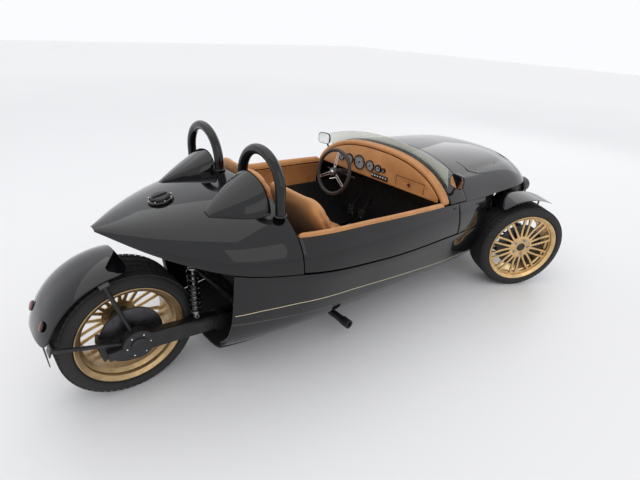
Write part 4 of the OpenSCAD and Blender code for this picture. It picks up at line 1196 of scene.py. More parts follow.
@dataclass
class Wheel:
    """A wheel: tyre with its tread, rim with paired spokes, hub and nuts."""

    corner: Corner
    radius: float
    width: float
    rim_w: float
    face: float
    shift: float = 0.0
    flange: float = 0.2586
    bead: float = 0.2413

    def node(self, kind: str) -> str:
        """Name of one of its CAD nodes."""
        return ("rear_" if self.corner is Corner.REAR else "front_") + kind + self.corner.node

    def build(self) -> None:
        """Builds the pieces."""
        self.place = self.corner.place @ Matrix.Translation((0, self.shift, 0))
        self.tyre()
        self.rim()
        refined(self.node("brake"), Look.IRON, self.corner.body, 0.0008)

    def tyre(self) -> None:
        """Builds the carcass and grooved tread blocks."""
        r, h = self.radius, self.width / 2
        bead = self.rim_w / 2 - 0.009
        half = [(self.bead + 0.0004, bead), (self.flange + 0.002, bead), (self.flange + 0.006, h - 0.006),
                (self.flange + 0.010, h - 0.0022),
                (self.flange + 0.017, h - 0.0008), (r - 0.044, h - 0.0008), (r - 0.041, h - 0.0022),
                (r - 0.030, h - 0.0045),
                (r - 0.018, h - 0.0105), (r - 0.0105, h - 0.0195), (r - 0.0078, h - 0.032), (r - 0.0072, h - 0.056)]
        body = Shape().lathe(half + [(a, -b) for a, b in reversed(half)], 160, self.place)
        piece(self.corner.word + "_carcass", body.mesh("carcass"), Look.TYRE, self.corner.body, (self.node("tyre"),),
              angle=28)
        crown = lambda y: r - 0.0004 - 0.0009 * (abs(y) / (h - 0.03)) ** 2 - max(0.0, abs(y) - (h - 0.034)) ** 2 * 9.0
        count = 64
        pitch = 2 * math.pi / count
        tread = Shape()
        rows = ((-h + 0.0185, -h + 0.052, 0.30), (-h + 0.060, -0.030, -0.22), (-0.022, 0.022, 0.0),
                (0.030, h - 0.060, 0.22), (h - 0.052, h - 0.0185, -0.30))
        for k, (y0, y1, slant) in enumerate(rows):
            top, low = [], []
            for i in range(5):
                y = y0 + (y1 - y0) * i / 4
                lean = slant * pitch * (y - (y0 + y1) / 2) / (y1 - y0) * 1.6
                t0, t1 = -0.44 * pitch + lean + 0.4 * pitch * (k % 2), 0.44 * pitch + lean + 0.4 * pitch * (k % 2)
                rr = crown(y)
                top.append([np.array([rr * math.cos(t), y, rr * math.sin(t)]) for t in np.linspace(t0, t1, 4)])
                low.append([np.array([(rr - 0.011) * math.cos(t), y, (rr - 0.011) * math.sin(t)])
                            for t in np.linspace(t0, t1, 4)])
            tread.grids(top, low)
        ring = RING.turned(tread, count, Look.TYRE, self.place)
        piece(self.corner.word + "_tread", ring.mesh("tread"), Look.TYRE, self.corner.body, angle=30)

    def rim(self) -> None:
        """Builds the barrel, spoke pairs, hub face, nuts and centre cap."""
        h, b, f = self.rim_w / 2, self.bead, self.flange
        wall = 0.0065
        outer = [(f, -h + 0.0008), (f, -h + 0.005), (b + 0.004, -h + 0.0075), (b, -h + 0.010), (b, -h + 0.040),
                 (b - 0.018, -h + 0.056),
                 (b - 0.018, h - 0.056), (b, h - 0.040), (b, h - 0.010), (b + 0.004, h - 0.0075), (f, h - 0.005),
                 (f, h - 0.0008)]
        inner = [(f - 0.0045, h), (f - 0.009, h - 0.003), (b - wall, h - 0.014), (b - wall, h - 0.038),
                 (b - 0.018 - wall, h - 0.054),
                 (b - 0.018 - wall, -h + 0.054), (b - wall, -h + 0.038), (b - wall, -h + 0.014),
                 (f - 0.009, -h + 0.003), (f - 0.0045, -h)]
        # The rear barrel takes the darker gold copy: painted shade under the fender.
        look = Look.GOLD if self.corner is not Corner.REAR else Look.GOLD_PAINTED_SHADE
        piece(self.corner.word + "_barrel", Shape().lathe(outer + inner, 160, self.place).mesh("barrel"), look,
              self.corner.body,
              (self.node("rim"),), angle=30)
        front, back = self.face, self.face + 0.020
        reach = b - wall - 0.0005 if abs(front) > h - 0.056 - 0.02 else b - 0.024
        spoke = Shape()
        for s in (-1, 1):
            rings = []
            for t in np.linspace(0, 1, 9):
                rr = 0.070 + (reach + 0.004 - 0.070) * t
                wide = 0.0098 - 0.0020 * math.sin(math.pi * t) + 0.002 * t**6
                a = s * math.radians(6.2) + s * math.radians(7.2) * t
                y0 = front + 0.004 * math.sin(math.pi * min(1, t * 1.1))
                y1 = back - 0.005 * math.sin(math.pi * t)
                u, v = np.array([math.cos(a), 0, math.sin(a)]), np.array([-math.sin(a), 0, math.cos(a)])
                ring = []
                for dv, y in ((-1, y0 + 0.003), (-0.72, y0), (0.72, y0), (1, y0 + 0.003), (1, y1 - 0.002), (0.8, y1),
                              (-0.8, y1), (-1, y1 - 0.002)):
                    ring.append(u * rr + v * dv * wide + np.array([0, y, 0]))
                rings.append(ring)
            spoke.loft(rings)
        piece(self.corner.word + "_spokes", RING.turned(spoke, 10, Look.GOLD, self.place).mesh("spokes"), Look.GOLD,
              self.corner.body, angle=32)
        hub = [(0.030, front + 0.006), (0.032, front + 0.001), (0.034, front), (0.046, front + 0.001),
               (0.048, front + 0.003), (0.066, front + 0.003),
               (0.068, front + 0.0005), (0.082, front + 0.002), (0.086, front + 0.006), (0.086, back - 0.004),
               (0.082, back), (0.030, back)]
        lip = [(reach - 0.010, front + 0.004), (reach - 0.008, front + 0.001), (reach, front + 0.001),
               (reach + 0.001, front + 0.004), (reach + 0.001, back), (reach - 0.010, back)]
        piece(self.corner.word + "_hub_face", Shape().lathe(hub, 96, self.place).lathe(lip, 160,
                self.place).mesh("hub"), Look.GOLD, self.corner.body, angle=30)
        nut = Shape()
        for rr, y0, y1, sides in ((0.0105, front - 0.001, front + 0.004, 20), (0.0085, front - 0.009, front, 6)):
            loops = [[(0.057 + k * rr * math.cos(t), y, k * rr * math.sin(t)) for t in turns(sides)]
                     for y, k in ((y1, 1.0), (y0 + 0.0015, 1.0), (y0, 0.82))]
            nut.loft(loops)
        piece(self.corner.word + "_nuts", RING.turned(nut, 5, Look.STEEL, self.place).mesh("nuts"), Look.STEEL,
              self.corner.body, angle=30)
        cap = [(0, front + 0.001), (0.020, front + 0.0012), (0.026, front + 0.003), (0.0295, front + 0.007),
               (0.0295, back - 0.002), (0, back - 0.002)]
        piece(self.corner.word + "_centre_cap", Shape().lathe(cap, 64, self.place).mesh("cap"), Look.FRAME,
              self.corner.body)


@dataclass
class FrontEnd:
    """Steering, suspension, fenders and lamps in front."""

    blade_r: float = 0.376
    blade_w: float = 0.190
    blade_t: float = 0.004
    lamp_back: float = 2853.0

    def build(self) -> None:
        """Builds the pieces."""
        for word, side in (("right", -1), ("left", 1)):
            corner = Corner.FRONT_RIGHT if side < 0 else Corner.FRONT_LEFT
            refined("knuckle_" + word, Look.FRAME, "steered_" + word, 0.0014)
            self.fender(corner, word)
        for node, look, body, edge in (("front_subframe", Look.FRAME, "body", 0.0014),
                                       ("wishbones", Look.FRAME, "body", 0.0014),
                                       ("engine_block", Look.CASTING, "body", 0.012),
                                       ("driveshafts", Look.STEEL, "body", 0.001),
                                       ("steering_rack", Look.STEEL, "rack", 0.0008),
                                       ("grille", Look.FRAME, "body", 0.0012)):
            refined(node, look, body, edge)
        self.dampers()
        self.lamps()

    def fender(self, corner: Corner, word: str) -> None:
        """Builds one cycle fender with a rolled lip, and its stays.

        Args:
            corner: The wheel it is over.
            word: right or left.
        """
        rr, w, t = self.blade_r, self.blade_w, self.blade_t
        outer, inner = [], []
        for a in np.radians(np.linspace(90 - 22, 90 + 36, 41)):
            up, low = [], []
            for v in np.linspace(-1, 1, 25):
                dip = 0.0016 * abs(v) ** 4
                edge = 0.010 * max(0.0, abs(math.degrees(a) - 97) - 26.5) / 2.5
                y = -0.020 + v * (w / 2 - edge)
                up.append(np.array([(rr + t - dip) * math.cos(a), y, (rr + t - dip) * math.sin(a)]))
                low.append(np.array([(rr + 0.0006) * math.cos(a), y, (rr + 0.0006) * math.sin(a)]))
            outer.append(up)
            inner.append(low)
        shape = Shape().grids(outer, inner).moved(corner.place)
        piece("front_fender_blade_" + word, shape.mesh("blade"), Look.PAINT, "steered_" + word,
              ("front_fender_" + word,), 0.0012, 50)
        stays = Shape()
        for s in (-1, 1):
            end_z = rr * math.cos(math.asin(0.2 / rr))
            pts = [np.array(p) for p in ((s * 0.034, 0.0255, 0.044), (s * 0.060, 0.036, 0.052),
                                         (s * 0.178, 0.1025, 0.089), (s * 0.188, 0.1045, 0.094),
                                          (s * 0.189, 0.1045, 0.108), (s * 0.198, 0.1045, end_z - 0.03),
                                          (s * 0.199, 0.100, end_z - 0.010), (s * 0.1985, 0.060, end_z - 0.0035))]
            stays.tube(pts, [0.0085, 0.0062] + [0.006] * 4 + [0.0055, 0.005], 14)
        piece("front_fender_stays_" + word, stays.moved(corner.place).mesh("stays"), Look.FRAME, "steered_" + word)

    def dampers(self) -> None:
        """Builds the front dampers with their springs."""
        body, coil = Shape(), Shape()
        t = (470 - 310 - 10) / (752.5 - 310 - 10)
        foot = placed(2640 + 130 * (1 - t), -470, 322 - 130 - 10 + 11 + 14 + 0.3)
        head = placed(2700, -324.3, 498)
        coil_over(body, coil, foot, head, 0.027, 0.05, 0.27, 7)
        piece("front_damper_bodies", body.mirrored().mesh("dampers"), Look.STEEL, stands_for=("front_dampers",))
        piece("front_springs", coil.mirrored().mesh("springs"), Look.HOOP)

    def lamps(self) -> None:
        """Builds the headlamps: bucket, rim, reflector, bulb cover and lens."""
        bucket, rim, bowl, lens, stay = Shape(), Shape(), Shape(), Shape(), Shape()
        for side in (-1, 1):
            place = spot(ORIGIN_X + self.lamp_back / 1000, side * LAMP_Y, LAMP_Z, -90)
            bucket.lathe([(0, 0), (0.020, 0), (0.040, 0.012), (0.052, 0.026), (0.059, 0.045), (0.0615, 0.065),
                          (0.0615, 0.246), (0.057, 0.246), (0.057, 0.10), (0, 0.09)], 72, place)
            rim.lathe([(0.055, 0.2455), (0.0618, 0.2455), (0.0618, 0.256), (0.059, 0.2612), (0.0555, 0.2612),
                       (0.054, 0.257)], 72, place)
            bowl.lathe([(0, 0.12), (0.020, 0.135), (0.040, 0.175), (0.052, 0.235), (0.0565, 0.2460),
                        (0.0565, 0.2400), (0.044, 0.170), (0.023, 0.128), (0, 0.112)], 72, place)
            bowl.lathe([(0, 0.135), (0.014, 0.16), (0.0165, 0.185), (0.012, 0.196), (0, 0.2)], 40, place)
            lens.lathe([(0, 0.2595), (0.030, 0.2575), (0.0545, 0.2500), (0.0545, 0.2475), (0.030, 0.2550),
                        (0, 0.2570)], 72, place)
            x = ORIGIN_X + (self.lamp_back + 50) / 1000
            stay.tube([(x, side * 0.458, LAMP_Z), (x, side * 0.30, 0.590), (x, side * 0.295, 0.583),
                       (x, side * 0.295, 0.2)], 0.009, 16)
        piece("lamp_buckets", bucket.mesh("buckets"), Look.FRAME, stands_for=("headlights",))
        piece("lamp_rims", rim.mesh("rims"), Look.CHROME)
        piece("lamp_reflectors", bowl.mesh("bowls"), Look.MIRROR)
        piece("lamp_lenses", lens.mesh("lenses"), Look.LENS)
        piece("lamp_stays", stay.mesh("stays"), Look.FRAME)


def coil_over(body: Shape, coil: Shape, foot: np.ndarray, head: np.ndarray, radius: float, start: float, end: float,
              wraps: float) -> None:
    """Adds a damper with its spring.

    Args:
        body: Takes the damper and its eyes.
        coil: Takes the spring.
        foot: Lower eye.
        head: Upper eye.
        radius: Radius of the spring.
        start: Where the spring starts, from the lower eye.
        end: Where it ends.
        wraps: Its turns.
    """
    span = np.linalg.norm(head - foot)
    d = (head - foot) / span
    up = Vector(d)
    place = Matrix.Translation(foot) @ Vector((0, 1, 0)).rotation_difference(up).to_matrix().to_4x4()
    end = min(end, span - 0.03)
    body.lathe([(0, 0.006), (0.012, 0.006), (0.0165, 0.016), (0.0165, start - 0.004), (0.024, start - 0.004),
                (0.0245, start), (0.024, start + 0.003), (0.016, start + 0.004),
                (0.016, span * 0.55), (0.0075, span * 0.55 + 0.002), (0.0075, end), (0.022, end),
                (0.0235, end + 0.003), (0.022, end + 0.008), (0.013, end + 0.014), (0.012, span - 0.006),
                (0, span - 0.006)], 40, place)
    for p in (foot, head):
        eye = Matrix.Translation(p)
        body.lathe([(0.006, -0.011), (0.0125, -0.011), (0.0138, -0.008), (0.0138, 0.008), (0.0125, 0.011),
                    (0.006, 0.011)], 32, eye)
    n = int(wraps * 28)
    path = []
    for i in range(n + 1):
        t = i / n
        w = 2 * math.pi * wraps * t
        path.append(place @ Vector((radius * math.cos(w), start + 0.005 + (end - start - 0.010) * t,
                                    radius * math.sin(w))))
    coil.tube([tuple(p) for p in path], 0.0052, 10)


@dataclass
class RearEnd:
    """Swing arm, damper, fender and what hangs behind."""

    first: float = 86.0
    last: float = 162.0
    half: float = 0.165
    tip: float = 9.0
    tip_in: float = 0.040

    def build(self) -> None:
        """Builds the pieces."""
        for node, look, edge in (("swing_arm", Look.FRAME, 0.003), ("rear_frame", Look.FRAME, 0.002),
                                 ("fender_struts", Look.FRAME, 0.001), ("plate_bracket", Look.PLASTIC, 0.0008),
                                 ("exhaust", Look.FRAME, 0.0015)):
            refined(node, look, edge=edge)
        self.damper()
        self.fender()
        self.hub()

    def damper(self) -> None:
        """Builds the damper and its spring."""
        body, coil = Shape(), Shape()
        lean = math.atan((328 - 262) / 438)
        arm_top = 328 + (44 - (304 - 20) * math.sin(lean)) / math.cos(lean)
        head = placed(310, -190.5, 686 - 14 - 0.3)
        foot = placed(304, -190.5, arm_top + 14 + 0.6)
        coil_over(body, coil, foot, head, 0.0265, 0.034, 0.285, 8)
        piece("rear_damper_body", body.mesh("rear_damper"), Look.STEEL, stands_for=("rear_damper",))
        piece("rear_spring", coil.mesh("rear_spring"), Look.HOOP)

    def fender(self) -> None:
        """Builds the rear fender with a rolled edge."""
        outer, inner = [], []
        for deg in np.linspace(self.first, self.last, 61):
            a = math.radians(deg)
            up, low = [], []
            end = min(1.0, (deg - self.first) / self.tip, (self.last - deg) / self.tip)
            wide = self.half - self.tip_in * (1 - math.sqrt(1 - (1 - end) ** 2))
            for u in np.linspace(-1, 1, 41):
                y = u * wide
                r = fender_r(y)
                for row, radius in ((up, r + FENDER_T), (low, r)):
                    row.append(np.array([ORIGIN_X + radius * math.cos(a), y, REAR_HUB_Z + radius * math.sin(a)]))
            outer.append(up)
            inner.append(low)
        piece("rear_fender_shell", Shape().grids(outer, inner).mesh("rear_fender"), Look.PAINT,
              stands_for=("rear_fender",), edge=0.0014, angle=50)

    def hub(self) -> None:
        """Builds the cover over the hub's end, with its ring of screws."""
        place = spot(ORIGIN_X, -0.2165, REAR_HUB_Z)
        cover = Shape().lathe([(0, -0.0085), (0.018, -0.0085), (0.020, -0.007), (0.024, -0.007), (0.026, -0.0095),
                               (0.033, -0.0095), (0.036, -0.006), (0.036, 0.001), (0, 0.001)], 64, place)
        piece("hub_cover", cover.mesh("hub_cover"), Look.STEEL)
        screw = Shape().lathe([(0, -0.0035), (0.0034, -0.0035), (0.0042, -0.0025), (0.0042, 0.001), (0, 0.001)],
                              12).moved(Matrix.Translation((0.055, 0, 0)))
        piece("hub_screws", RING.turned(screw, 6, Look.CHROME, place).mesh("hub_screws"), Look.CHROME)


# ---- Cockpit ----


@dataclass
class Gauge:
    """A round instrument: black bezel, printed face, ticks, needle and glass."""

    y: float
    r: float
    sweep: float = 240.0
    value: float = 0.2

    def add(self, parts: dict[str, Shape], x: float, z: float) -> None:
        """Adds the instrument to shapes named by finish.

        Args:
            parts: Shapes that take its parts.
            x: Rear face of the dash.
            z: Height of its middle.
        """
        place = spot(x, self.y, z, -90)
        r = self.r
        parts["bezel"].lathe([(r - 0.0075, -0.0005), (r, -0.0005), (r, -0.006), (r - 0.001, -0.0088),
                              (r - 0.004, -0.0096), (r - 0.0075, -0.007)], 64, place)
        parts["face"].lathe([(0, -0.0035), (r - 0.007, -0.0035), (r - 0.007, -0.001), (0, -0.001)], 64, place)
        count = 11
        for k in range(count):
            a = math.radians(90 + self.sweep / 2 - self.sweep * k / (count - 1))
            turn = place @ Matrix.Rotation(-a, 4, "Y")
            parts["ink"].block((r * 0.58, -0.0042, -0.0009), (r * 0.76, -0.0034, 0.0009), turn)
        parts["ink"].lathe([(0, -0.0034), (r * 0.13, -0.0034), (r * 0.13, -0.0058), (0, -0.0062)], 24, place)
        turn = place @ Matrix.Rotation(-math.radians(90 + self.sweep / 2 - self.sweep * self.value), 4, "Y")
        parts["ink"].block((-r * 0.18, -0.0056, -0.0009), (r * 0.70, -0.0048, 0.0009), turn)
        parts["glass"].lathe([(0, -0.0078), (r - 0.0076, -0.0072), (r - 0.0076, -0.0066), (0, -0.0070)], 48, place)


@dataclass
class Dash:
    """Dash panel, padded cowl roll, instruments, switches and glovebox lid."""

    x: float = 1.794 + ORIGIN_X
    base_z: float = 0.760

    def build(self) -> None:
        """Builds the pieces."""
        refined("dash_panel", Look.TAN, edge=0.0025)
        refined("glovebox_lid", Look.TAN, "glovebox", 0.0018)
        self.knob()
        self.instruments()
        self.roll()

    def knob(self) -> None:
        """Builds the turn button of the glovebox."""
        place = spot(self.x - 0.0062, -0.322, self.base_z + 0.050, -90)
        shape = Shape().lathe([(0, -0.002), (0.011, -0.002), (0.0125, 0), (0.0125, 0.003), (0, 0.003)], 32, place)
        piece("glovebox_button", shape.mesh("button"), Look.CALIPER, "glovebox")

    def instruments(self) -> None:
        """Builds the gauges, the switch bank with its caps and the dash screws."""
        parts = {k: Shape() for k in ("bezel", "face", "ink", "glass")}
        z = self.base_z + 0.086
        for g in (Gauge(0.331, 0.033, value=0.5), Gauge(0.245, 0.040, value=0.15), Gauge(0.142, 0.053, value=0.02),
                  Gauge(0.036, 0.040, value=0.1),
                  Gauge(-0.042, 0.029, value=0.6), Gauge(-0.092, 0.017, 180, 0.4)):
            g.add(parts, self.x, z)
        for key, look in (("bezel", Look.HOOP), ("face", Look.DIAL), ("ink", Look.INK), ("glass", Look.LENS)):
            piece("gauge_" + key, parts[key].mesh(key), look, stands_for=("instruments",) if key == "bezel" else ())
        bank, caps = Shape(), Shape()
        bank.block((self.x - 0.006, -0.138, self.base_z + 0.014), (self.x - 0.0003, 0.014, self.base_z + 0.048))
        for k in range(6):
            y = -0.124 + k * 0.0246
            place = spot(self.x - 0.006, y, self.base_z + 0.031, -90)
            caps.lathe([(0, 0), (0.0072, 0), (0.0072, -0.0018), (0.0045, -0.003), (0, -0.003)], 24, place)
            caps.tube([place @ Vector((0, -0.002, 0)), place @ Vector((0, -0.0062, 0.005))], [0.0018, 0.0026], 10)
        piece("switch_bank", bank.mesh("bank"), Look.FRAME, edge=0.0015)
        piece("switch_caps", caps.mesh("switches"), Look.CHROME)
        screws = Shape()
        for y, zz in ((0.40, 0.885), (0.10, 0.918), (-0.16, 0.918), (-0.46, 0.83), (-0.5, 0.775), (0.5, 0.775)):
            place = spot(self.x, y, zz, -90)
            screws.lathe([(0, -0.002), (0.003, -0.002), (0.0042, -0.0008), (0.0042, 0.0005), (0, 0.0005)], 16, place)
        piece("dash_screws", screws.mesh("screws"), Look.STEEL)

    def roll(self) -> None:
        """Builds the padded roll round the front of the cockpit, with its seam."""
        x0, x1 = 1801.0, 1867.0
        rings, seams = [], [[], []]
        lo = FORM.angle_at(1834, FORM.shoulder(1834) + 9)
        n = 150
        for i in range(n + 1):
            a = lo + (180 - 2 * lo) * i / n
            e = min(i, n - i) / 4.0
            size = 1.0 if e >= 1 else 0.35 + 0.65 * math.sqrt(1 - (1 - e) ** 2)
            ring = []
            for t in turns(32):
                c, s = power(math.cos(t), 0.62), power(math.sin(t), 0.72)
                ring.append(FORM.inset((x0 + x1) / 2 + c * (x1 - x0) / 2 * (0.9 + 0.1 * size), a,
                                       17 - s * 16.8 * size))
            rings.append(ring)
            if 5 < i < n - 5:
                seams[0].append(FORM.inset(x0 + 9.5, a, 0.6))
                seams[1].append(FORM.inset(x1 - 9.5, a, 0.6))
        roll = piece("cowl_roll", Shape().loft(rings).mesh("cowl_roll"), Look.TAN, stands_for=("cowl_trim",),
                     angle=60)
        STITCHES.along("cowl_roll_seam", seams, "body")


@dataclass
class SteeringWheel:
    """Three-spoked wheel with a leather rim."""

    hub: tuple[float, float, float] = (1.646 + ORIGIN_X, 0.256, 0.765)
    tilt: float = 14.0
    radius: float = 0.172
    rim: float = 0.026

    def build(self) -> None:
        """Builds rim, seam, spokes and hub."""
        place = spot(*self.hub, 90 + self.tilt, "Y") @ Matrix.Rotation(math.pi / 2, 4, "X")
        rr, t = self.radius - self.rim / 2, self.rim / 2
        path = [place @ Vector((rr * math.cos(a), 0, rr * math.sin(a)))
                for a in np.linspace(0, 2 * math.pi, 96, endpoint=False)]
        piece("wheel_grip", Shape().tube(path, t * 0.985, 24, closed=True).mesh("grip"), Look.GRIP, "hand_wheel",
              ("steering_wheel",))
        inner = [tuple(place @ Vector(((rr - t - 0.0002) * math.cos(a), 0, (rr - t - 0.0002) * math.sin(a))))
                 for a in np.linspace(0, 2 * math.pi, 160)]
        STITCHES.along("wheel_grip_seam", [inner], "hand_wheel", Look.GRIP, 0.008, 0.005, 0.0006)
        spokes = Shape()
        for deg in (62, 182, 302):
            turn = place @ Matrix.Rotation(math.radians(deg), 4, "Y")
            for s in (-1, 1):
                spokes.loft([[turn @ Vector((r, y, z)) for y,
                              z in ((-0.002, s * z0), (-0.002, s * z1), (0.002, s * z1), (0.002, s * z0))]
                             for r, z0, z1 in ((0.030, 0.0066, 0.0135), (0.060, 0.0052, 0.0120),
                                               (0.135, 0.0044, 0.0104), (0.150, 0.0044, 0.0104))])
            spokes.block((0.028, -0.002, -0.013), (0.046, 0.002, 0.013), turn)
            spokes.block((0.136, -0.002, -0.0104), (0.152, 0.002, 0.0104), turn)
        piece("wheel_spokes", spokes.mesh("wheel_spokes"), Look.ALLOY, "hand_wheel", edge=0.0005)
        boss = [(0, 0.021), (0.010, 0.0212), (0.012, 0.019), (0.022, 0.018), (0.026, 0.012), (0.033, 0.006),
                (0.034, -0.006), (0.030, -0.020), (0.017, -0.021), (0.0166, -0.004), (0, -0.004)]
        piece("wheel_boss", Shape().lathe([(r, -y) for r, y in boss], 64, place).mesh("boss"), Look.FRAME,
              "hand_wheel")
        button = Shape().lathe([(0, -0.0219), (0.008, -0.0219), (0.0135, -0.0210), (0.0150, -0.0185), (0, -0.0185)],
                               40, place)
        piece("wheel_button", button.mesh("button"), Look.CHROME, "hand_wheel")
        bolt = Shape().lathe([(0, -0.0205), (0.0028, -0.0205), (0.0036, -0.0190), (0.0036, -0.0150), (0, -0.0150)],
                             12).moved(Matrix.Translation((0.0235, 0, 0)))
        piece("wheel_bolts", RING.turned(bolt, 6, Look.STEEL, place).mesh("bolts"), Look.STEEL, "hand_wheel")


@dataclass
class Screen:
    """Frameless screen and the door mirrors."""

    foot_x: float = 1894.0
    head_x: float = 1854.0
    half: float = 548.0
    glass: float = 5.0

    def edges(self, y: float) -> tuple[np.ndarray, np.ndarray]:
        """Foot and head of the glass at y, in mm."""
        foot = np.array([self.foot_x, y, FORM.top_at(self.foot_x, y) + 0.9])
        head = np.array([self.head_x, y, max(1062 - 0.00031 * y * y, foot[2] + 20)])
        return foot, head

    def build(self) -> None:
        """Builds glass, its foot strip and both mirrors."""
        outer, inner = [], []
        ys = np.linspace(-self.half, self.half, 121)
        for t in np.linspace(0, 1, 17):
            up, low = [], []
            for y in ys:
                f, h = self.edges(float(y))
                bow = np.array([-3.0 * math.sin(math.pi * t), 0, 0])
                p = f + (h - f) * t + bow
                up.append(placed(p[0] + self.glass, p[1], p[2]))
                low.append(placed(*p))
            outer.append(up)
            inner.append(low)
        piece("screen_pane", Shape().grids(outer, inner).mesh("pane"), Look.GLASS, stands_for=("windscreen",),
              edge=0.0012, angle=50)
        path = [placed(*self.edges(float(y))[0]) + [0.0062, 0, 0.0022] for y in ys]
        piece("screen_seal", Shape().tube(path, 0.0026, 10).mesh("seal"), Look.PLASTIC)
        self.mirrors()

    def mirrors(self) -> None:
        """Builds mirror shells, glasses and arms."""
        shell, glass, arm = Shape(), Shape(), Shape()
        foot = FORM.inset(1902, 31, -9.0)
        head = np.array([1874 / 1000 + ORIGIN_X, -0.622, 0.910])
        place = spot(*head, -14)

        def outline(x: float, k: float) -> list[Vector]:
            """Rounded outline of the shell at depth x, shrunk by k."""
            pts = []
            for t in turns(48):
                c, s = math.cos(t), math.sin(t)
                pts.append(place @ Vector((x, 0.0555 * k * power(c, 0.55), 0.0435 * k * power(s, 0.55))))
            return pts

        shell.loft([outline(-0.0138, 0.97), outline(-0.0125, 1.0), outline(0.002, 0.985), outline(0.011, 0.86),
                    outline(0.0150, 0.60), outline(0.0158, 0.25)])
        glass.loft([outline(-0.0142, 0.90), outline(-0.0137, 0.905), outline(-0.0125, 0.90)])
        arm.tube([foot, foot * 0.65 + head * 0.35 + [0, 0, 0.002], head + [0.004, 0, -0.01]], [0.010, 0.0075, 0.007],
                 20)
        arm.tube([foot + [0, 0, -0.0065], foot + [0, 0, -0.003], foot + [0, 0, 0.004]], [0.0115, 0.0115, 0.009], 24)
        piece("mirror_shells", shell.mirrored().mesh("shells"), Look.HOOP, stands_for=("mirrors",),
              angle=60)
        piece("mirror_glasses", glass.mirrored().mesh("glasses"), Look.MIRROR)
        piece("mirror_arms", arm.mirrored().mesh("arms"), Look.HOOP)


@dataclass
class Seat:
    """One bucket seat: cushion and back, stuffed by simulation."""

    side: int
    word: str
    centre: float = 0.268
    width: float = 0.450
    slack: float = 0.006

    def pad(self, name: str, a: tuple[float, float], b: tuple[float, float], ra: float, rb: float, bolster: float,
            node: Optional[str]) -> bpy.types.Object:
        """A stuffed pad between two rolls.

        Args:
            name: The piece's name.
            a: Middle of the first roll, x and z in mm.
            b: Middle of the second.
            ra: Radius of the first.
            rb: Radius of the second.
            bolster: How far the sides stand proud, in metres.
            node: CAD node that it replaces.

        Returns:
            The pad.
        """
        pa, pb = np.array([a[0] / 1000 + ORIGIN_X, a[1] / 1000]), np.array([b[0] / 1000 + ORIGIN_X, b[1] / 1000])
        axis = (pb - pa) / np.linalg.norm(pb - pa)
        out = np.array([-axis[1], axis[0]]) if axis[0] > 0 else np.array([axis[1], -axis[0]])
        length = np.linalg.norm(pb - pa)
        shrink = self.slack
        rings = []
        for i in range(41):
            v = -1 + 2 * i / 40
            y = v * (self.width / 2 - shrink)
            end = (1 - abs(v) ** 7) ** 0.5 if abs(v) < 1 else 0.0
            rise = bolster * math.exp(-(((abs(v) - 0.80) / 0.17) ** 2)) - 0.004 * math.cos(v * math.pi / 2)
            ring = []
            for t in turns(64):
                c, s = math.cos(t), math.sin(t)
                c2, s2 = power(c, 0.45), power(s, 0.85)
                f = (c2 + 1) / 2
                r = (ra + (rb - ra) * f) / 1000 - shrink
                along = -ra / 1000 + shrink + (length + ra / 1000 + rb / 1000 - 2 * shrink) * f
                crown = 1 - 0.10 * (2 * f - 1) ** 2
                top = (r - bolster) * crown + rise if s > 0 else r * crown
                shape = 0.30 + 0.70 * end
                lift = s2 * top * shape
                narrow = 1 - 0.13 * max(0.0, (f - 0.72) / 0.28) ** 2 if rb > ra else 1.0
                p = pa + axis * ((along - length / 2) * (0.90 + 0.10 * end) + length / 2) + out * lift
                ring.append((p[0], -self.centre + y * narrow, p[1]))
            rings.append(ring)
        mesh = Shape().loft(rings).mesh(name)
        if self.side > 0:
            mesh.transform(Matrix.Scale(-1, 4, (0, 1, 0)))
            mesh.flip_normals()
        obj = bpy.data.objects.new(name, mesh)
        bpy.context.scene.collection.objects.link(obj)
        stuff(obj, self.slack)
        made = obj.data
        bpy.data.objects.remove(obj)
        pad = piece(name, made, Look.TAN, "body", (node,) if node else (), angle=80)
        return pad

    def build(self, first: bool) -> None:
        """Builds the seat.

        Args:
            first: Whether it is the one that stands for the CAD's pads.
        """
        self.pad("seat_cushion_" + self.word, (1236, 361.3), (1560, 387.3), 56, 54, 0.012,
                 "seat_cushions" if first else None)
        lean = math.radians(158)
        foot = (1236 + 102.3 * math.cos(lean), 361.3 + 102.3 * math.sin(lean))
        self.pad("seat_back_" + self.word, foot, (868, 912), 46, 58, 0.020, "seat_backs" if first else None)


VOXEL = 0.0062
CLOTH_PRESSURE = 4.0
CLOTH_STIFFNESS = 22
CLOTH_FRAMES = 20


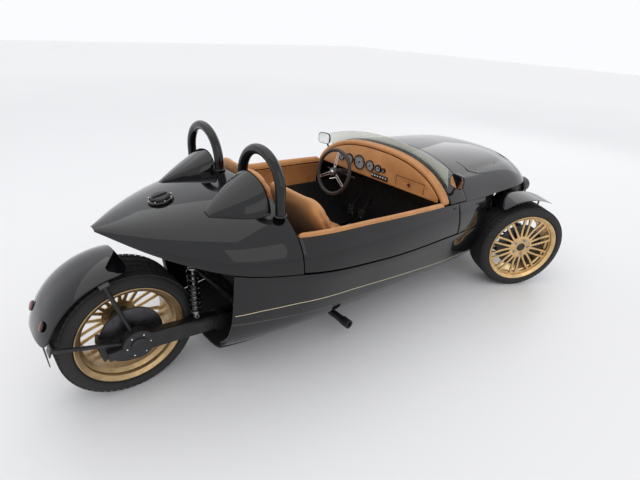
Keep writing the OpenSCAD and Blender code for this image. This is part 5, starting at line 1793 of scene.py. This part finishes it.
def stuff(obj: bpy.types.Object, cap: float) -> None:
    """Swells a pad with the cloth simulation and keeps the result.

    Args:
        obj: The pad, a closed mesh.
        cap: The furthest that a point may move, in metres.
    """
    remesh = obj.modifiers.new("voxels", "REMESH")
    remesh.mode, remesh.voxel_size = "VOXEL", VOXEL
    baked(obj)
    rest = np.array([v.co[:] for v in obj.data.vertices])
    cloth = obj.modifiers.new("cloth", "CLOTH")
    cloth.settings.use_pressure = True
    cloth.settings.uniform_pressure_force = CLOTH_PRESSURE
    cloth.settings.effector_weights.gravity = 0.0
    cloth.settings.quality = 5
    cloth.settings.tension_stiffness = cloth.settings.compression_stiffness = CLOTH_STIFFNESS
    scene = bpy.context.scene
    scene.frame_start, scene.frame_end = 1, CLOTH_FRAMES
    for f in range(1, CLOTH_FRAMES + 1):
        scene.frame_set(f)
    baked(obj)
    scene.frame_set(1)
    now = np.array([v.co[:] for v in obj.data.vertices])
    move = now - rest
    far = np.linalg.norm(move, axis=1, keepdims=True)
    now = rest + move * np.minimum(1.0, cap / np.maximum(far, 1e-9))
    for v, p in zip(obj.data.vertices, now):
        v.co = p
    smooth = obj.modifiers.new("smooth", "CORRECTIVE_SMOOTH")
    smooth.factor, smooth.iterations, smooth.use_only_smooth = 0.5, 4, True
    baked(obj)
    LOG.info("%s stuffed: mean move %.1f mm", obj.name, float(np.minimum(far, cap).mean() * 1000))


@dataclass
class Cabin:
    """Floor fittings, pedals, lever, column and bulkheads."""

    fire: float = 2033.0
    pedals: tuple[float, ...] = (0.200, 0.320)
    lever_x: float = 1.44

    def build(self) -> None:
        """Builds the pieces."""
        for node, look, edge in (("bulkheads", Look.CARPET, 0.002), ("seat_bases", Look.FRAME, 0.003),
                                 ("centre_tunnel", Look.CARPET, 0.006), ("steering_column", Look.FRAME, 0.0015)):
            refined(node, look, edge=edge)
        self.controls()

    def controls(self) -> None:
        """Builds two pedals with ribbed pads and the lever with its gaiter."""
        arms, pads, ribs = Shape(), Shape(), Shape()
        for y in self.pedals:
            x = ORIGIN_X + (self.fire - 100) / 1000
            pads.block((x, y - 0.032, 0.330), (x + 0.008, y + 0.032, 0.412))
            for k in range(6):
                ribs.block((x - 0.0018, y - 0.027, 0.340 + k * 0.0122), (x + 0.0002, y + 0.027, 0.345 + k * 0.0122))
            arms.tube([(x + 0.006, y, 0.396), (x + 0.05, y, 0.430), (ORIGIN_X + (self.fire - 5) / 1000, y, 0.470)],
                      0.006, 12)
            arms.block((ORIGIN_X + (self.fire - 6.3) / 1000, y - 0.014, 0.452),
                       (ORIGIN_X + (self.fire - 0.3) / 1000, y + 0.014, 0.488))
        piece("pedal_pads", pads.mesh("pads"), Look.ALLOY, stands_for=("driver_controls",),
              edge=0.003)
        piece("pedal_ribs", ribs.mesh("ribs"), Look.TYRE, edge=0.0006)
        piece("pedal_arms", arms.mesh("arms"), Look.FRAME)
        place = spot(ORIGIN_X + self.lever_x, 0, 0.3303, 90, "X")
        gaiter = [(0, 0)] + [(0.0275 - 0.0024 * k - (0.003 if k % 2 else 0), 0.006 + 0.007 * k)
                             for k in range(9)] + [(0.006, 0.070), (0, 0.070)]
        piece("lever_gaiter", Shape().lathe(gaiter, 40, place).mesh("gaiter"), Look.GRIP)
        piece("lever_rod", Shape().lathe([(0, 0.06), (0.0055, 0.06), (0.005, 0.122), (0, 0.122)], 20,
                                         place).mesh("lever"), Look.CHROME)
        piece("lever_knob", Shape().lathe([(0, 0.108), (0.010, 0.110), (0.0175, 0.120), (0.0195, 0.129),
                                           (0.017, 0.140), (0.010, 0.146), (0, 0.1475)], 40, place).mesh("knob"),
                                           Look.TAN)


# ---- Setting ----


@dataclass
class Studio:
    """Pale floor, soft lights and the camera."""

    floor_size: float = 60.0
    ambient: float = 0.88
    yaw: float = 47.71
    pitch: float = 27.25
    roll: float = 3.3
    eye: tuple[float, float, float] = (ORIGIN_X - 0.407, -1.896, 1.725)
    sensor: float = 36.0
    lens: float = 23.506875
    lamps: tuple[tuple, ...] = (("key_light", (-1.0, 1.2, 5.0), (0.4, -0.3, 0.4), 6.0, 70),
                                ("side_light", (-1.5, -5.5, 3.2), (0, 0, 0.5), 4.0, 30),
                                ("nose_light", (6.0, 1.0, 3.4), (0.5, 0, 0.6), 4.0, 30))

    def build(self) -> None:
        """Builds the setting."""
        self.floor()
        self.world()
        for lamp in self.lamps:
            self.light(*lamp)
        self.camera()
        bpy.context.scene.view_settings.view_transform = "Standard"

    def floor(self) -> None:
        """Builds the floor, which shows white far off and keeps shadows; its colour is painted grey near the middle,
        a painted light falloff.
        """
        s = self.floor_size / 2
        mesh = bpy.data.meshes.new("floor")
        mesh.from_pydata([(-s, -s, 0), (s, -s, 0), (s, s, 0), (-s, s, 0)], [], [(0, 1, 2, 3)])
        obj = bpy.data.objects.new("studio_floor", mesh)
        bpy.context.scene.collection.objects.link(obj)
        g = Graph("floor_painted_falloff").set(Roughness=0.35, Specular_IOR_Level=0.25)
        # Painted light falloff: the floor's colour is grey within 3 m of the middle and lightens to white by 14 m
        # out.
        far = g.ramp(g.distance(20.0), 0.15, 0.7, (0.855, 0.855, 0.86), (1.0, 1.0, 1.0))
        g.colour(far).roughness(g.noise(0.8, 3), 0.3, 0.4)
        mesh.materials.append(g.material)

    def world(self) -> None:
        """Lights evenly; shows white behind and in gloss and glass."""
        world = bpy.data.worlds.new("studio_world")
        bpy.context.scene.world = world
        world.use_nodes = True
        tree = world.node_tree
        back = tree.nodes["Background"]
        new, link = tree.nodes.new, tree.links.new
        path, scale = new("ShaderNodeLightPath"), new("ShaderNodeMapRange")
        gloss, glass = new("ShaderNodeMath"), new("ShaderNodeMath")
        gloss.operation = glass.operation = "MAXIMUM"
        link(path.outputs["Is Camera Ray"], gloss.inputs[0])
        link(path.outputs["Is Glossy Ray"], gloss.inputs[1])
        link(gloss.outputs[0], glass.inputs[0])
        link(path.outputs["Is Transmission Ray"], glass.inputs[1])
        scale.inputs["To Min"].default_value, scale.inputs["To Max"].default_value = self.ambient, 1.0
        link(glass.outputs[0], scale.inputs["Value"])
        link(scale.outputs["Result"], back.inputs["Strength"])
        back.inputs["Color"].default_value = (0.97, 0.975, 1.0, 1)

    def light(self, name: str, at: tuple[float, float, float], to: tuple[float, float, float], size: float,
              watts: float) -> None:
        """Adds a soft square lamp.

        Args:
            name: Its name.
            at: Where it is.
            to: What it points at.
            size: Its side.
            watts: Its power.
        """
        lamp = bpy.data.lights.new(name, "AREA")
        lamp.size, lamp.energy = size, watts
        obj = bpy.data.objects.new(name, lamp)
        bpy.context.scene.collection.objects.link(obj)
        obj.location = at
        obj.rotation_euler = (Vector(to) - Vector(at)).to_track_quat("-Z", "Y").to_euler()

    def camera(self) -> None:
        """Adds the camera behind and to the right, above the roof line."""
        yaw, pitch, roll = (math.radians(a) for a in (self.yaw, self.pitch, self.roll))
        ahead = Vector((math.cos(pitch) * math.cos(yaw), math.cos(pitch) * math.sin(yaw), -math.sin(pitch)))
        right = Vector((math.sin(yaw), -math.cos(yaw), 0))
        up = right.cross(ahead)
        r2, u2 = right * math.cos(roll) + up * math.sin(roll), up * math.cos(roll) - right * math.sin(roll)
        cam = bpy.data.cameras.new("camera")
        cam.sensor_width, cam.lens = self.sensor, self.lens
        obj = bpy.data.objects.new("camera", cam)
        obj.matrix_world = Matrix(((r2.x, u2.x, -ahead.x, self.eye[0]), (r2.y, u2.y, -ahead.y, self.eye[1]),
                                   (r2.z, u2.z, -ahead.z, self.eye[2]), (0, 0, 0, 1)))
        bpy.context.scene.collection.objects.link(obj)
        bpy.context.scene.camera = obj


def main() -> None:
    """Builds the roadster and its setting."""
    logging.basicConfig(level=logging.INFO, format="%(name)s %(message)s")
    Studio().build()
    Panels().build()
    TailFittings().build()
    for corner in (Corner.FRONT_RIGHT, Corner.FRONT_LEFT):
        Wheel(corner, FRONT_HUB_Z, 0.225, 0.215, -0.084, -0.020).build()
    Wheel(Corner.REAR, REAR_HUB_Z, 0.285, 0.267, -0.082).build()
    FrontEnd().build()
    RearEnd().build()
    Dash().build()
    SteeringWheel().build()
    Screen().build()
    Seat(-1, "passenger").build(True)
    Seat(1, "driver").build(False)
    Cabin().build()


if __name__ == "__main__":
    main()
